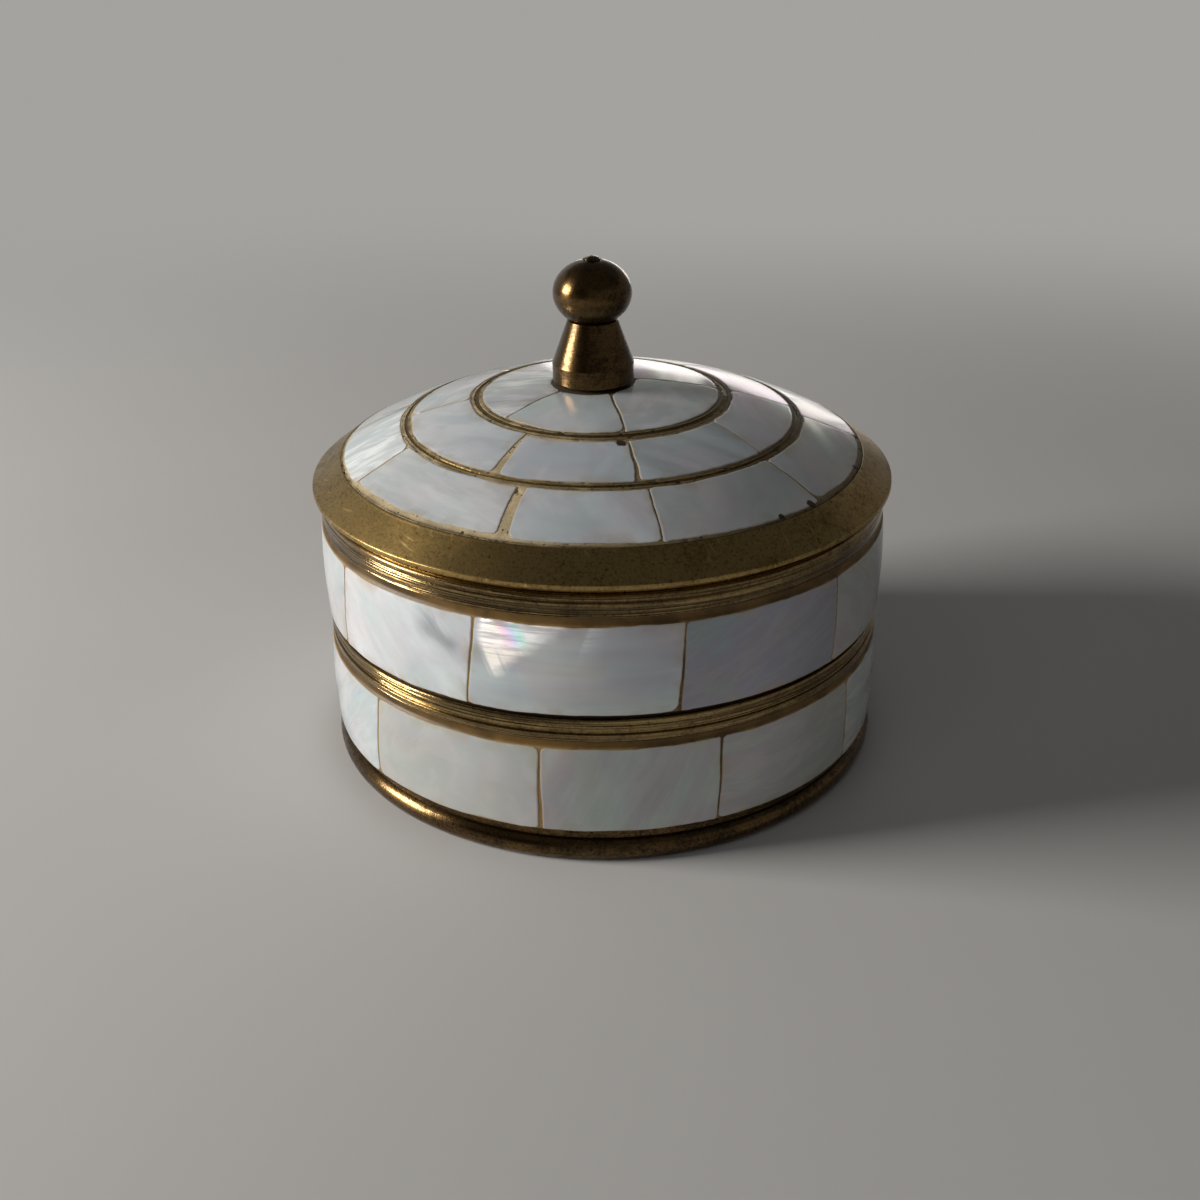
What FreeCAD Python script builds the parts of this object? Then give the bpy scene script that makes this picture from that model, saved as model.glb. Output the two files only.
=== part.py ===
import FreeCAD, Part
import math
import os

import Sketcher

# A round brass box with a lift-off domed lid, covered in mother of pearl tiles.
# The axis of the box is Z, the foot stands on Z = 0 and the front of the box faces -Y.
# Lengths are in millimetres. Joint angles are in degrees round the axis, from the front towards +X.

SIZES = {
    # Brass cup: the other radii of the box and lid are its inner radius with thicknesses and projections
    "cup_inner_radius": 36.0,
    "cup_wall": 1.4,
    "floor_thickness": 1.4,
    "floor_corner_radius": 2.0,
    "band_projection": 1.7,
    "lip_height": 2.95,
    "lip_edge_radius": 0.45,
    # Foot ring: half-round bead, groove and step
    "foot_ledge_width": 1.0,
    "foot_ledge_height": 0.9,
    "bead_radius": 1.75,
    "bead_flat_cut": 0.15,
    "bead_centre_projection": 0.3,
    "foot_groove_projection": 0.9,
    "foot_groove_height": 0.9,
    "foot_step_projection": 1.55,
    "foot_step_height": 0.7,
    # Middle band with its turned groove
    "middle_band_low_height": 1.05,
    "middle_groove_height": 0.75,
    "middle_band_high_height": 1.3,
    "middle_groove_depth": 0.4,
    "middle_band_edge_radius": 0.3,
    # Side tiles and their cement
    "side_bed": 0.7,
    "side_tile_height": 12.15,
    "side_tile_thickness": 1.2,
    "side_tile_crown": 0.25,
    "side_joint": 0.35,
    "side_cement_recess": 0.35,
    "lower_strip": 0.95,
    "upper_gap": 0.75,
    "upper_gap_recess": 0.8,
    "upper_strip": 1.1,
    # Lid
    "lid_overhang": 0.9,
    "rim_edge": 0.6,
    "rim_width": 4.15,
    "rim_height": 4.8,
    "undercut_inset": 0.7,
    "undercut_height": 1.1,
    "crown_rise": 8.9,
    "dome_thickness": 1.2,
    "pad_margin": 1.0,
    "locating_thickness": 1.5,
    "locating_clearance": 0.3,
    "locating_depth": 3.4,
    "locating_lead_in": 0.5,
    # Lid tiles, dividers and cement
    "lid_tile_thickness": 1.4,
    "lid_bed": 0.5,
    "lid_cement_recess": 0.15,
    "lid_edge_gap": 0.4,
    "lid_joint": 0.35,
    "outer_divider_thickness": 0.7,
    "inner_divider_thickness": 1.2,
    # Knob, rivet and washer
    "knob_offset": 1.0,
    "knob_base_radius": 5.55,
    "knob_base_height": 2.45,
    "knob_base_rise": 2.3,
    "knob_spigot_step": 1.55,
    "knob_hole_margin": 0.65,
    "knob_cone_height": 5.9,
    "knob_cone_top_radius": 3.4,
    "ball_radius": 5.3,
    "ball_half_height": 4.4,
    "ball_seat_cut": 0.8,
    "ball_top_cut": 0.15,
    "rivet_radius": 1.1,
    "rivet_clearance": 0.05,
    "rivet_nub_radius": 1.3,
    "rivet_nub_height": 0.65,
    "rivet_tail_radius": 2.0,
    "rivet_tail_height": 0.8,
    "washer_radius": 3.5,
    "washer_thickness": 0.8,
    # Cuts run this far past what they cut
    "overrun": 1.0,
}

# Tile joints, each as (angle at the first end, angle at the far end, width share at each end).
# On the side the first end is the top and the far end the bottom; on the lid, the inner and outer ends.
# The widths are shares of the usual joint, because the tiles were cut by hand and some joints gape.
UPPER_JOINT_SHARES = [
    (14.5, 13.5, 1.0, 1.8), (48.9, 48.6, 1.0, 1.0), (85.5, 86.3, 1.0, 1.4), (121.4, 120.6, 1.0, 1.0),
    (158.0, 158.9, 1.3, 1.0), (193.7, 193.0, 1.0, 1.0), (229.8, 230.6, 1.0, 1.2), (266.2, 265.3, 1.0, 1.0),
    (302.0, 299.8, 1.0, 1.0), (336.6, 334.4, 1.4, 1.0),
]
LOWER_JOINT_SHARES = [
    (21.9, 21.4, 1.6, 1.0), (55.2, 55.7, 1.0, 1.0), (91.5, 90.8, 1.0, 1.0), (128.4, 129.0, 1.2, 1.0),
    (164.5, 163.9, 1.0, 1.3), (201.2, 201.0, 1.0, 1.0), (238.1, 238.9, 1.0, 1.0), (273.5, 272.8, 1.0, 1.2),
    (311.1, 309.2, 1.2, 1.0), (348.2, 347.8, 1.0, 2.2),
]
OUTER_JOINT_SHARES = [
    (12.1, 11.6, 1.0, 1.2), (49.9, 50.2, 1.0, 1.5), (87.1, 91.3, 1.0, 1.0), (131.5, 130.0, 1.0, 1.3),
    (172.6, 174.0, 1.2, 1.0), (215.8, 214.2, 1.0, 1.0), (258.5, 256.6, 1.0, 1.0), (293.9, 295.9, 1.0, 1.0),
    (338.9, 340.0, 3.8, 5.6),
]
MIDDLE_JOINT_SHARES = [
    (11.0, 9.8, 1.0, 2.9), (54.7, 50.4, 1.0, 1.0), (94.1, 94.1, 1.0, 1.0), (138.6, 140.2, 1.0, 1.4),
    (183.5, 182.2, 1.0, 1.0), (228.0, 229.1, 1.2, 1.0), (274.8, 270.3, 1.0, 1.0), (327.9, 329.5, 1.2, 5.2),
]
INNER_JOINT_SHARES = [
    (14.2, 10.7, 1.6, 1.0), (106.0, 92.7, 1.0, 1.0), (164.0, 168.0, 1.0, 1.0), (226.0, 232.7, 1.0, 1.0),
    (298.5, 309.3, 1.0, 1.0),
]

# Where the lid's dividers stand, from its axis to the inside of its rim
OUTER_DIVIDER_SHARE = 0.7475
INNER_DIVIDER_SHARE = 0.4755

# How far past its ring the cutting outline of a tile reaches, and where it starts inside the knob's hole
OUTLINE_REACH_SHARE = 1.1
OUTLINE_START_SHARE = 0.9
INNER_START_SHARE = 0.6

FULL_TURN = 360.0
SHEET = "sizes"


class Size:
    """A length with its value and the expression that binds it to the sheet."""

    def __init__(self, value, text):
        self.value = value
        self.text = text

    def __add__(self, other):
        return Size(self.value + other.value, f"({self.text} + {other.text})")

    def __sub__(self, other):
        return Size(self.value - other.value, f"({self.text} - {other.text})")

    def __mul__(self, share):
        return Size(self.value * share, f"({self.text} * ({share:.9f}))")


ZERO = Size(0.0, "0")


def leg(long_side, short_side):
    """The other leg of a right triangle with these hypotenuse and leg."""
    value = math.sqrt(long_side.value ** 2 - short_side.value ** 2)
    return Size(value, f"sqrt({long_side.text}^2 - {short_side.text}^2)")


def arc_radius(half_chord, rise):
    """The radius of an arc with this half chord and rise."""
    value = (half_chord.value ** 2 + rise.value ** 2) / (2 * rise.value)
    return Size(value, f"(({half_chord.text}^2 + {rise.text}^2) / (2 * {rise.text}))")


doc = FreeCAD.newDocument("MotherOfPearlBox")


def fill_sheet():
    """Write every driving dimension to the sheet and return them by name."""
    sheet = doc.addObject("Spreadsheet::Sheet", SHEET)
    for row, (name, value) in enumerate(SIZES.items(), start=1):
        sheet.set(f"A{row}", name)
        sheet.set(f"B{row}", str(value))
        sheet.setAlias(f"B{row}", name)
    doc.recompute()
    return {name: Size(float(sheet.get(name)), f"{SHEET}.{name}") for name in SIZES}


S = fill_sheet()


# Sketches

def segment(start, end, bend):
    """A straight or round segment of an outline and the ends that it starts and stops at."""
    first = FreeCAD.Vector(start[0].value, start[1].value, 0)
    last = FreeCAD.Vector(end[0].value, end[1].value, 0)
    if bend is None:
        return Part.LineSegment(first, last), 1, 2
    radius, side = bend
    along = last - first
    normal = FreeCAD.Vector(-along.y, along.x, 0).normalize()
    rise = math.sqrt(max(radius.value ** 2 - (along.Length / 2) ** 2, 0))
    centre = (first + last) * 0.5 + normal * (rise * side)
    begin, stop = (first, last) if side > 0 else (last, first)
    circle = Part.Circle(centre, FreeCAD.Vector(0, 0, 1), radius.value)
    arc = Part.ArcOfCircle(circle, circle.parameter(begin), circle.parameter(stop))
    return (arc, 1, 2) if side > 0 else (arc, 2, 1)


def pin(constraints, bindings, index, end, point):
    """Hold one corner at its two sizes."""
    for kind, axis, size in (("DistanceX", -2, point[0]), ("DistanceY", -1, point[1])):
        if size.text == ZERO.text:
            constraints.append(Sketcher.Constraint("PointOnObject", index, end, axis))
            continue
        bindings.append((len(constraints), size))
        constraints.append(Sketcher.Constraint(kind, -1, 1, index, end, size.value))


def draw(sketch, corners, bends=None):
    """Draw a closed outline whose corners and arcs are bound to the sheet.

    bends gives, for the corner that an arc leaves, its radius and the side its centre lies on:
    1 to the left of the way along the outline, -1 to the right.
    """
    bends = bends or {}
    pieces = []
    for i, corner in enumerate(corners):
        pieces.append(segment(corner, corners[(i + 1) % len(corners)], bends.get(i)))
    sketch.addGeometry([piece[0] for piece in pieces], False)
    constraints = []
    bindings = []
    for i, (_, start, end) in enumerate(pieces):
        following = (i + 1) % len(pieces)
        constraints.append(Sketcher.Constraint("Coincident", i, end, following, pieces[following][1]))
        pin(constraints, bindings, i, start, corners[i])
        if i in bends:
            bindings.append((len(constraints), bends[i][0]))
            constraints.append(Sketcher.Constraint("Radius", i, bends[i][0].value))
    sketch.addConstraint(constraints)
    for index, size in bindings:
        sketch.setExpression(f"Constraints[{index}]", size.text)


def draw_circle(sketch, centre_x, radius):
    """Draw a circle on the sketch's X axis, bound to the sheet."""
    centre = FreeCAD.Vector(centre_x.value, 0, 0)
    sketch.addGeometry(Part.Circle(centre, FreeCAD.Vector(0, 0, 1), radius.value), False)
    sketch.addConstraint([
        Sketcher.Constraint("PointOnObject", 0, 3, -1),
        Sketcher.Constraint("DistanceX", -1, 1, 0, 3, centre_x.value),
        Sketcher.Constraint("Radius", 0, radius.value),
    ])
    sketch.setExpression("Constraints[1]", centre_x.text)
    sketch.setExpression("Constraints[2]", radius.text)


def body_sketch(body, name, role):
    """A sketch on one of the body's own origin planes."""
    sketch = body.newObject("Sketcher::SketchObject", name)
    plane = next(feature for feature in body.Origin.OriginFeatures if feature.Role == role)
    sketch.AttachmentSupport = [(plane, "")]
    sketch.MapMode = "FlatFace"
    return sketch


# Turned pieces

def turned(name, corners, bends=None):
    """A body turned about the axis from its half section."""
    body = doc.addObject("PartDesign::Body", name)
    profile = body_sketch(body, name + "_section", "XZ_Plane")
    draw(profile, corners, bends)
    turn = body.newObject("PartDesign::Revolution", name + "_turn")
    turn.Profile = profile
    turn.ReferenceAxis = (profile, ["V_Axis"])
    turn.Angle = FULL_TURN
    return body


def drill(body, name, centre_x, radius):
    """A hole right up through a body that stands above the XY plane."""
    circle = body_sketch(body, name + "_circle", "XY_Plane")
    draw_circle(circle, centre_x, radius)
    doc.recompute()
    before = body.Shape.Volume
    hole = body.newObject("PartDesign::Pocket", name)
    hole.Profile = circle
    hole.Type = "ThroughAll"
    hole.Reversed = True
    doc.recompute()
    if not body.Shape.Volume < before:
        raise RuntimeError(f"{name} cut nothing")


# Radii, from the cup out
cup_outer = S["cup_inner_radius"] + S["cup_wall"]
band_radius = cup_outer + S["band_projection"]
side_tile_back = cup_outer + S["side_bed"]
side_tile_edge = side_tile_back + S["side_tile_thickness"]
side_cement_face = side_tile_edge - S["side_cement_recess"]
lid_radius = band_radius + S["lid_overhang"]
rim_inner = lid_radius - S["rim_width"]
locating_outer = S["cup_inner_radius"] - S["locating_clearance"]
rim_block_inner = locating_outer - S["locating_thickness"]
knob_spigot_radius = S["knob_base_radius"] - S["knob_spigot_step"]
knob_hole_radius = S["knob_base_radius"] + S["knob_hole_margin"]
pad_radius = knob_spigot_radius + S["knob_offset"] + S["pad_margin"]
rivet_hole_radius = S["rivet_radius"] + S["rivet_clearance"]

# Foot bead: the circle of its section
bead_centre_height = S["bead_radius"] - S["bead_flat_cut"]
bead_centre_radius = cup_outer + S["bead_centre_projection"]
foot_groove_radius = cup_outer + S["foot_groove_projection"]
bead_top = bead_centre_height + leg(S["bead_radius"], foot_groove_radius - bead_centre_radius)

# Heights, from the foot up
floor_top = S["foot_ledge_height"] + S["floor_thickness"]
foot_step_low = bead_top + S["foot_groove_height"]
lower_tile_low = foot_step_low + S["foot_step_height"]
lower_tile_high = lower_tile_low + S["side_tile_height"]
band_low = lower_tile_high + S["lower_strip"]
band_groove_low = band_low + S["middle_band_low_height"]
band_groove_high = band_groove_low + S["middle_groove_height"]
band_high = band_groove_high + S["middle_band_high_height"]
upper_tile_low = band_high + S["upper_gap"]
upper_tile_high = upper_tile_low + S["side_tile_height"]
lip_low = upper_tile_high + S["upper_strip"]
seat = lip_low + S["lip_height"]
rim_low = seat + S["undercut_height"]
rim_top = seat + S["rim_height"]

# Spheres of the lid, from the face of the tiles down, which meets the rim's inner edge
dome_radius = arc_radius(rim_inner, S["crown_rise"])
dome_centre = rim_top + S["crown_rise"] - dome_radius
tile_back_radius = dome_radius - S["lid_tile_thickness"]
cement_radius = dome_radius - S["lid_cement_recess"]
dome_top_radius = tile_back_radius - S["lid_bed"]
dome_under_radius = dome_top_radius - S["dome_thickness"]


def on_sphere(sphere_radius, radius):
    """The point of a lid sphere at this distance from the axis."""
    return radius, dome_centre + leg(sphere_radius, radius)


# Knob pieces stand on the pad of the dome, beside the axis of the lid
pad_top = on_sphere(dome_top_radius, pad_radius)[1]
pad_under = on_sphere(dome_under_radius, pad_radius)[1]
knob_base_low = pad_top + S["knob_base_rise"]
knob_shoulder = knob_base_low + S["knob_base_height"]
knob_cone_top = knob_shoulder + S["knob_cone_height"]
ball_centre = knob_cone_top + S["ball_half_height"] - S["ball_seat_cut"]
ball_flat = ball_centre + S["ball_half_height"] - S["ball_top_cut"]
washer_low = pad_under - S["washer_thickness"]


def body_cup():
    """The cup, with floor and wall in one and a thick lip that shows as the top band."""
    edge = S["lip_edge_radius"]
    corner = S["floor_corner_radius"]
    corners = [
        (ZERO, S["foot_ledge_height"]),
        (cup_outer, S["foot_ledge_height"]),
        (cup_outer, lip_low),
        (band_radius, lip_low),
        (band_radius, seat - edge),
        (band_radius - edge, seat),
        (S["cup_inner_radius"], seat),
        (S["cup_inner_radius"], floor_top + corner),
        (S["cup_inner_radius"] - corner, floor_top),
        (ZERO, floor_top),
    ]
    return turned("body_cup", corners, {4: (edge, 1), 7: (corner, -1)})


def foot_ring():
    """The foot: a half-round bead with a flat to stand on, a groove and a step under the tiles."""
    inner = cup_outer - S["foot_ledge_width"]
    flat = leg(S["bead_radius"], bead_centre_height)
    step_radius = cup_outer + S["foot_step_projection"]
    corners = [
        (inner, ZERO),
        (bead_centre_radius + flat, ZERO),
        (foot_groove_radius, bead_top),
        (foot_groove_radius, foot_step_low),
        (step_radius, foot_step_low),
        (step_radius, lower_tile_low),
        (cup_outer, lower_tile_low),
        (cup_outer, S["foot_ledge_height"]),
        (inner, S["foot_ledge_height"]),
    ]
    return turned("foot_ring", corners, {1: (S["bead_radius"], 1)})


def middle_band():
    """The band between the two rows of tiles, with a turned groove."""
    edge = S["middle_band_edge_radius"]
    groove_radius = band_radius - S["middle_groove_depth"]
    corners = [
        (cup_outer, band_low),
        (band_radius - edge, band_low),
        (band_radius, band_low + edge),
        (band_radius, band_groove_low),
        (groove_radius, band_groove_low),
        (groove_radius, band_groove_high),
        (band_radius, band_groove_high),
        (band_radius, band_high - edge),
        (band_radius - edge, band_high),
        (cup_outer, band_high),
    ]
    return turned("middle_band", corners, {1: (edge, 1), 7: (edge, 1)})


def lid_dome():
    """The brass dome with its sloping rim, the seat under it and a flat pad for the knob."""
    undercut_radius = band_radius - S["undercut_inset"]
    corners = [
        (ZERO, pad_under),
        (pad_radius, pad_under),
        on_sphere(dome_under_radius, rim_block_inner),
        (rim_block_inner, seat),
        (undercut_radius, seat),
        (undercut_radius, rim_low),
        (lid_radius, rim_low),
        (lid_radius, rim_low + S["rim_edge"]),
        (rim_inner, rim_top),
        on_sphere(dome_top_radius, rim_inner),
        (pad_radius, pad_top),
        (ZERO, pad_top),
    ]
    body = turned("lid_dome", corners, {1: (dome_under_radius, -1), 9: (dome_top_radius, 1)})
    drill(body, "rivet_hole", S["knob_offset"] * -1, rivet_hole_radius)
    return body


def lid_locating_ring():
    """The ring under the lid that drops into the mouth of the cup."""
    low = seat - S["locating_depth"]
    corners = [
        (rim_block_inner, low),
        (locating_outer - S["locating_lead_in"], low),
        (locating_outer, low + S["locating_lead_in"]),
        (locating_outer, seat),
        (rim_block_inner, seat),
    ]
    return turned("lid_locating_ring", corners)


def dome_layer(name, inner, outer, low_sphere, high_sphere):
    """A ring of the lid between two spheres, with upright sides; an inner radius of zero makes a disc."""
    corners = [
        on_sphere(low_sphere, inner),
        on_sphere(low_sphere, outer),
        on_sphere(high_sphere, outer),
        on_sphere(high_sphere, inner),
    ]
    return turned(name, corners, {0: (low_sphere, -1), 2: (high_sphere, 1)})


def beside_axis(piece):
    """Stand a piece of the knob where the knob was drilled, off the lid's centre."""
    piece.setExpression("Placement.Base.x", f"-{S['knob_offset'].text}")
    return piece


def knob_foot():
    """The cone under the ball, with a short cylinder at its base and a spigot onto the dome."""
    corners = [
        (rivet_hole_radius, pad_top),
        (knob_spigot_radius, pad_top),
        (knob_spigot_radius, knob_base_low),
        (S["knob_base_radius"], knob_base_low),
        (S["knob_base_radius"], knob_shoulder),
        (S["knob_cone_top_radius"], knob_cone_top),
        (rivet_hole_radius, knob_cone_top),
    ]
    return beside_axis(turned("knob_foot", corners))


def knob_rivet():
    """The pin through the knob and the dome: a peened nub on the ball and a peened tail on the washer."""
    nub = arc_radius(S["rivet_nub_radius"], S["rivet_nub_height"])
    tail = arc_radius(S["rivet_tail_radius"], S["rivet_tail_height"])
    corners = [
        (ZERO, washer_low - S["rivet_tail_height"]),
        (S["rivet_tail_radius"], washer_low),
        (S["rivet_radius"], washer_low),
        (S["rivet_radius"], ball_flat),
        (S["rivet_nub_radius"], ball_flat),
        (ZERO, ball_flat + S["rivet_nub_height"]),
    ]
    return beside_axis(turned("knob_rivet", corners, {0: (tail, 1), 4: (nub, 1)}))


def rivet_washer():
    """The washer under the dome."""
    corners = [
        (rivet_hole_radius, washer_low),
        (S["washer_radius"], washer_low),
        (S["washer_radius"], pad_under),
        (rivet_hole_radius, pad_under),
    ]
    return beside_axis(turned("rivet_washer", corners))


# Part shapes and booleans

def cylinder(name, radius, low, height):
    """A cylinder on the knob's axis, for a cut."""
    shape = doc.addObject("Part::Cylinder", name)
    shape.setExpression("Radius", radius.text)
    shape.setExpression("Height", height.text)
    shape.setExpression("Placement.Base.z", low.text)
    return beside_axis(shape)


def boolean(kind, name, base, tool):
    """A boolean of two shapes."""
    result = doc.addObject("Part::" + kind, name)
    result.Base = base
    result.Tool = tool
    return result


def knob_ball():
    """The flattened ball, faced off where it sits on the cone and under the nub, and drilled."""
    ball = doc.addObject("Part::Ellipsoid", "ball_blank")
    ball.setExpression("Radius1", S["ball_half_height"].text)
    ball.setExpression("Radius2", S["ball_radius"].text)
    ball.setExpression("Radius3", S["ball_radius"].text)
    ball.setExpression("Placement.Base.z", ball_centre.text)
    beside_axis(ball)
    height = ball_flat - knob_cone_top
    faces = cylinder("ball_faces", S["ball_radius"] + S["overrun"], knob_cone_top, height)
    hole_low = knob_cone_top - S["overrun"]
    hole = cylinder("ball_hole", rivet_hole_radius, hole_low, height + S["overrun"] * 2)
    return boolean("Cut", "knob_ball", boolean("Common", "ball_faced", ball, faces), hole)


# Tiles

def beside_joint(radius, degrees, offset):
    """A point at this radius, set off sideways from the joint's line."""
    turn = math.radians(degrees)
    along = radius * math.sin(turn) + offset * math.cos(turn)
    back = radius * -math.cos(turn) + offset * math.sin(turn)
    return along, back


def tile_outline(sketch, start, reach, first, last, joint):
    """The cutting outline of a tile from one joint to the next.

    first and last give each joint's angle and width share at the start and at the reach.
    """
    near_start, near_reach, near_start_share, near_reach_share = first
    far_start, far_reach, far_start_share, far_reach_share = last
    draw(sketch, [
        beside_joint(start, near_start, joint * (near_start_share / 2)),
        beside_joint(reach, near_reach, joint * (near_reach_share / 2)),
        beside_joint(reach, (near_reach + far_reach) / 2, ZERO),
        beside_joint(reach, far_reach, joint * (-far_reach_share / 2)),
        beside_joint(start, far_start, joint * (-far_start_share / 2)),
    ])


def joint_pairs(joints):
    """Each joint with the next one round, whose angles are a full turn on past the last."""
    following = joints[1:] + [(joints[0][0] + FULL_TURN, joints[0][1] + FULL_TURN) + joints[0][2:]]
    return zip(joints, following)


def plan_sketch(name, height):
    """A level sketch at this height."""
    sketch = doc.addObject("Sketcher::SketchObject", name)
    sketch.setExpression("Placement.Base.z", height.text)
    return sketch


def side_tiles(row, joints, low, high):
    """A row of barrel-faced tiles round the wall, cut between leaning joints."""
    barrel = arc_radius(S["side_tile_height"] * 0.5, S["side_tile_crown"])
    layer = turned(row + "_layer", [
        (side_tile_back, low), (side_tile_edge, low), (side_tile_edge, high), (side_tile_back, high),
    ], {1: (barrel, 1)})
    start = side_tile_back * OUTLINE_START_SHARE
    reach = (side_tile_edge + S["side_tile_crown"]) * OUTLINE_REACH_SHARE
    tiles = []
    for number, (first, last) in enumerate(joint_pairs(joints), start=1):
        name = f"{row}_tile_{number:02d}"
        sections = []
        for end, height in ((1, low), (0, high)):
            section = plan_sketch(f"{name}_cut_{end}", height)
            at_end = [(joint[end], joint[end], joint[2 + end], joint[2 + end]) for joint in (first, last)]
            tile_outline(section, start, reach, at_end[0], at_end[1], S["side_joint"])
            sections.append(section)
        wedge = doc.addObject("Part::Loft", name + "_wedge")
        wedge.Sections = sections
        wedge.Solid = True
        wedge.Ruled = True
        tiles.append(boolean("Common", name, layer, wedge))
    return tiles


def lid_tiles(ring, joints, layer, start, reach):
    """A ring of tiles cut from one layer of the lid along upright joints."""
    tiles = []
    for number, (first, last) in enumerate(joint_pairs(joints), start=1):
        name = f"{ring}_tile_{number:02d}"
        outline = plan_sketch(name + "_outline", seat)
        tile_outline(outline, start, reach, first, last, S["lid_joint"])
        wedge = doc.addObject("Part::Extrusion", name + "_wedge")
        wedge.Base = outline
        wedge.DirMode = "Normal"
        wedge.setExpression("LengthFwd", (S["rim_height"] + S["crown_rise"] + S["overrun"]).text)
        wedge.Solid = True
        tiles.append(boolean("Common", name, layer, wedge))
    return tiles


def cement(name, bed, tiles):
    """The cement left round the tiles of one row or ring."""
    pressed = doc.addObject("Part::Compound", name + "_tiles")
    pressed.Links = tiles
    return boolean("Cut", name, bed, pressed)


def side_rows():
    """Both rows of side tiles with their cement."""
    face = side_cement_face
    gap = side_tile_edge - S["upper_gap_recess"]
    lower = side_tiles("lower", LOWER_JOINT_SHARES, lower_tile_low, lower_tile_high)
    upper = side_tiles("upper", UPPER_JOINT_SHARES, upper_tile_low, upper_tile_high)
    lower_bed = turned("lower_bed", [
        (cup_outer, lower_tile_low), (face, lower_tile_low), (face, band_low), (cup_outer, band_low),
    ])
    upper_bed = turned("upper_bed", [
        (cup_outer, band_high), (gap, band_high), (gap, upper_tile_low),
        (face, upper_tile_low), (face, lip_low), (cup_outer, lip_low),
    ])
    beds = [cement("lower_cement", lower_bed, lower), cement("upper_cement", upper_bed, upper)]
    return lower + upper + beds


def lid_rings():
    """The dividers, and the three rings of lid tiles with their cement."""
    outer_strip = rim_inner * OUTER_DIVIDER_SHARE
    inner_strip = rim_inner * INNER_DIVIDER_SHARE
    outer_half = S["outer_divider_thickness"] * 0.5
    inner_half = S["inner_divider_thickness"] * 0.5
    outer_strip_low = outer_strip - outer_half
    outer_strip_high = outer_strip + outer_half
    inner_strip_low = inner_strip - inner_half
    inner_strip_high = inner_strip + inner_half
    pieces = [
        dome_layer("outer_divider", outer_strip_low, outer_strip_high, dome_top_radius, dome_radius),
        dome_layer("inner_divider", inner_strip_low, inner_strip_high, dome_top_radius, dome_radius),
    ]
    edges = {
        "outer": (outer_strip_high, rim_inner, OUTER_JOINT_SHARES),
        "middle": (inner_strip_high, outer_strip_low, MIDDLE_JOINT_SHARES),
        "inner": (ZERO, inner_strip_low, INNER_JOINT_SHARES),
    }
    knob_side = S["knob_offset"] * -1
    for ring, (inside, outside, joints) in edges.items():
        centre_ring = ring == "inner"
        low_edge = inside if centre_ring else inside + S["lid_edge_gap"]
        high_edge = outside - S["lid_edge_gap"]
        layer = dome_layer(ring + "_layer", low_edge, high_edge, tile_back_radius, dome_radius)
        bed = dome_layer(ring + "_bed", inside, outside, dome_top_radius, cement_radius)
        start = low_edge * OUTLINE_START_SHARE
        if centre_ring:
            drill(layer, "knob_clearance", knob_side, knob_hole_radius)
            drill(bed, "spigot_clearance", knob_side, knob_spigot_radius)
            start = knob_hole_radius * INNER_START_SHARE
        tiles = lid_tiles(ring, joints, layer, start, high_edge * OUTLINE_REACH_SHARE)
        pieces += tiles
        pieces.append(cement(ring + "_cement", bed, tiles))
    return pieces


def check(pieces):
    """Stop if anything failed to build."""
    for item in doc.Objects:
        if {"Invalid", "Error"} & set(item.State):
            raise RuntimeError(f"{item.Name} failed: {item.State}")
    for piece in pieces:
        shape = piece.Shape
        if shape.isNull() or not shape.isValid() or len(shape.Solids) != 1:
            raise RuntimeError(f"{piece.Label} is not one valid solid")


def build():
    """Model every piece, check it and write it out."""
    pieces = [body_cup(), middle_band(), foot_ring(), lid_dome(), lid_locating_ring()]
    pieces += [knob_foot(), knob_ball(), knob_rivet(), rivet_washer()]
    pieces += side_rows() + lid_rings()
    doc.recompute()
    check(pieces)
    os.makedirs("parts", exist_ok=True)
    for piece in pieces:
        piece.Shape.exportStep(f"parts/{piece.Label}.step")
    print(f"{len(pieces)} pieces written")


build()
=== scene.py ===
import math
from functools import cache
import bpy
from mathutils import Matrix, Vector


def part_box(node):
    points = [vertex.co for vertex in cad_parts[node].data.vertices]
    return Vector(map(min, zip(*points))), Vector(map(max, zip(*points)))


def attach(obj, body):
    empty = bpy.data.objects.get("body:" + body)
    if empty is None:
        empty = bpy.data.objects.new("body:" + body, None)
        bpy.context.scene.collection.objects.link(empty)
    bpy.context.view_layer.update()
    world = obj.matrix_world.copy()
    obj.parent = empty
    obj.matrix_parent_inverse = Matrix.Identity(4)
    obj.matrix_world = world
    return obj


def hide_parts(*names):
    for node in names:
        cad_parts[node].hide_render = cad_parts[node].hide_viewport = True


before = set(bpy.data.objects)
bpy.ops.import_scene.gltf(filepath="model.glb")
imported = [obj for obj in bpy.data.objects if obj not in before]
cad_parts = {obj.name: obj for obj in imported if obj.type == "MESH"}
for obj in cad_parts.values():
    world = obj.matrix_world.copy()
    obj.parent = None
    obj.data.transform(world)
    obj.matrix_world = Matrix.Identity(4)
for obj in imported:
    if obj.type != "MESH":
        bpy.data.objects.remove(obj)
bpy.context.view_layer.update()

from types import SimpleNamespace

import bmesh
import bpy
from bpy.props import FloatProperty, FloatVectorProperty, IntProperty, PointerProperty
from mathutils import Matrix, Vector

bl_info = {
    "name": "Mother of pearl box",
    "version": (1, 0, 0),
    "blender": (4, 5, 0),
    "location": "3D View > Sidebar > Pearl Box",
    "description": "Dresses a round brass box with its nacre tiles, cement and knob",
    "category": "Object",
}

MM = 0.001

SIDE_ROWS = ("upper", "lower")
LID_RINGS = ("outer", "middle", "inner")


# Sizes read from the frame, in millimetres

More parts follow.
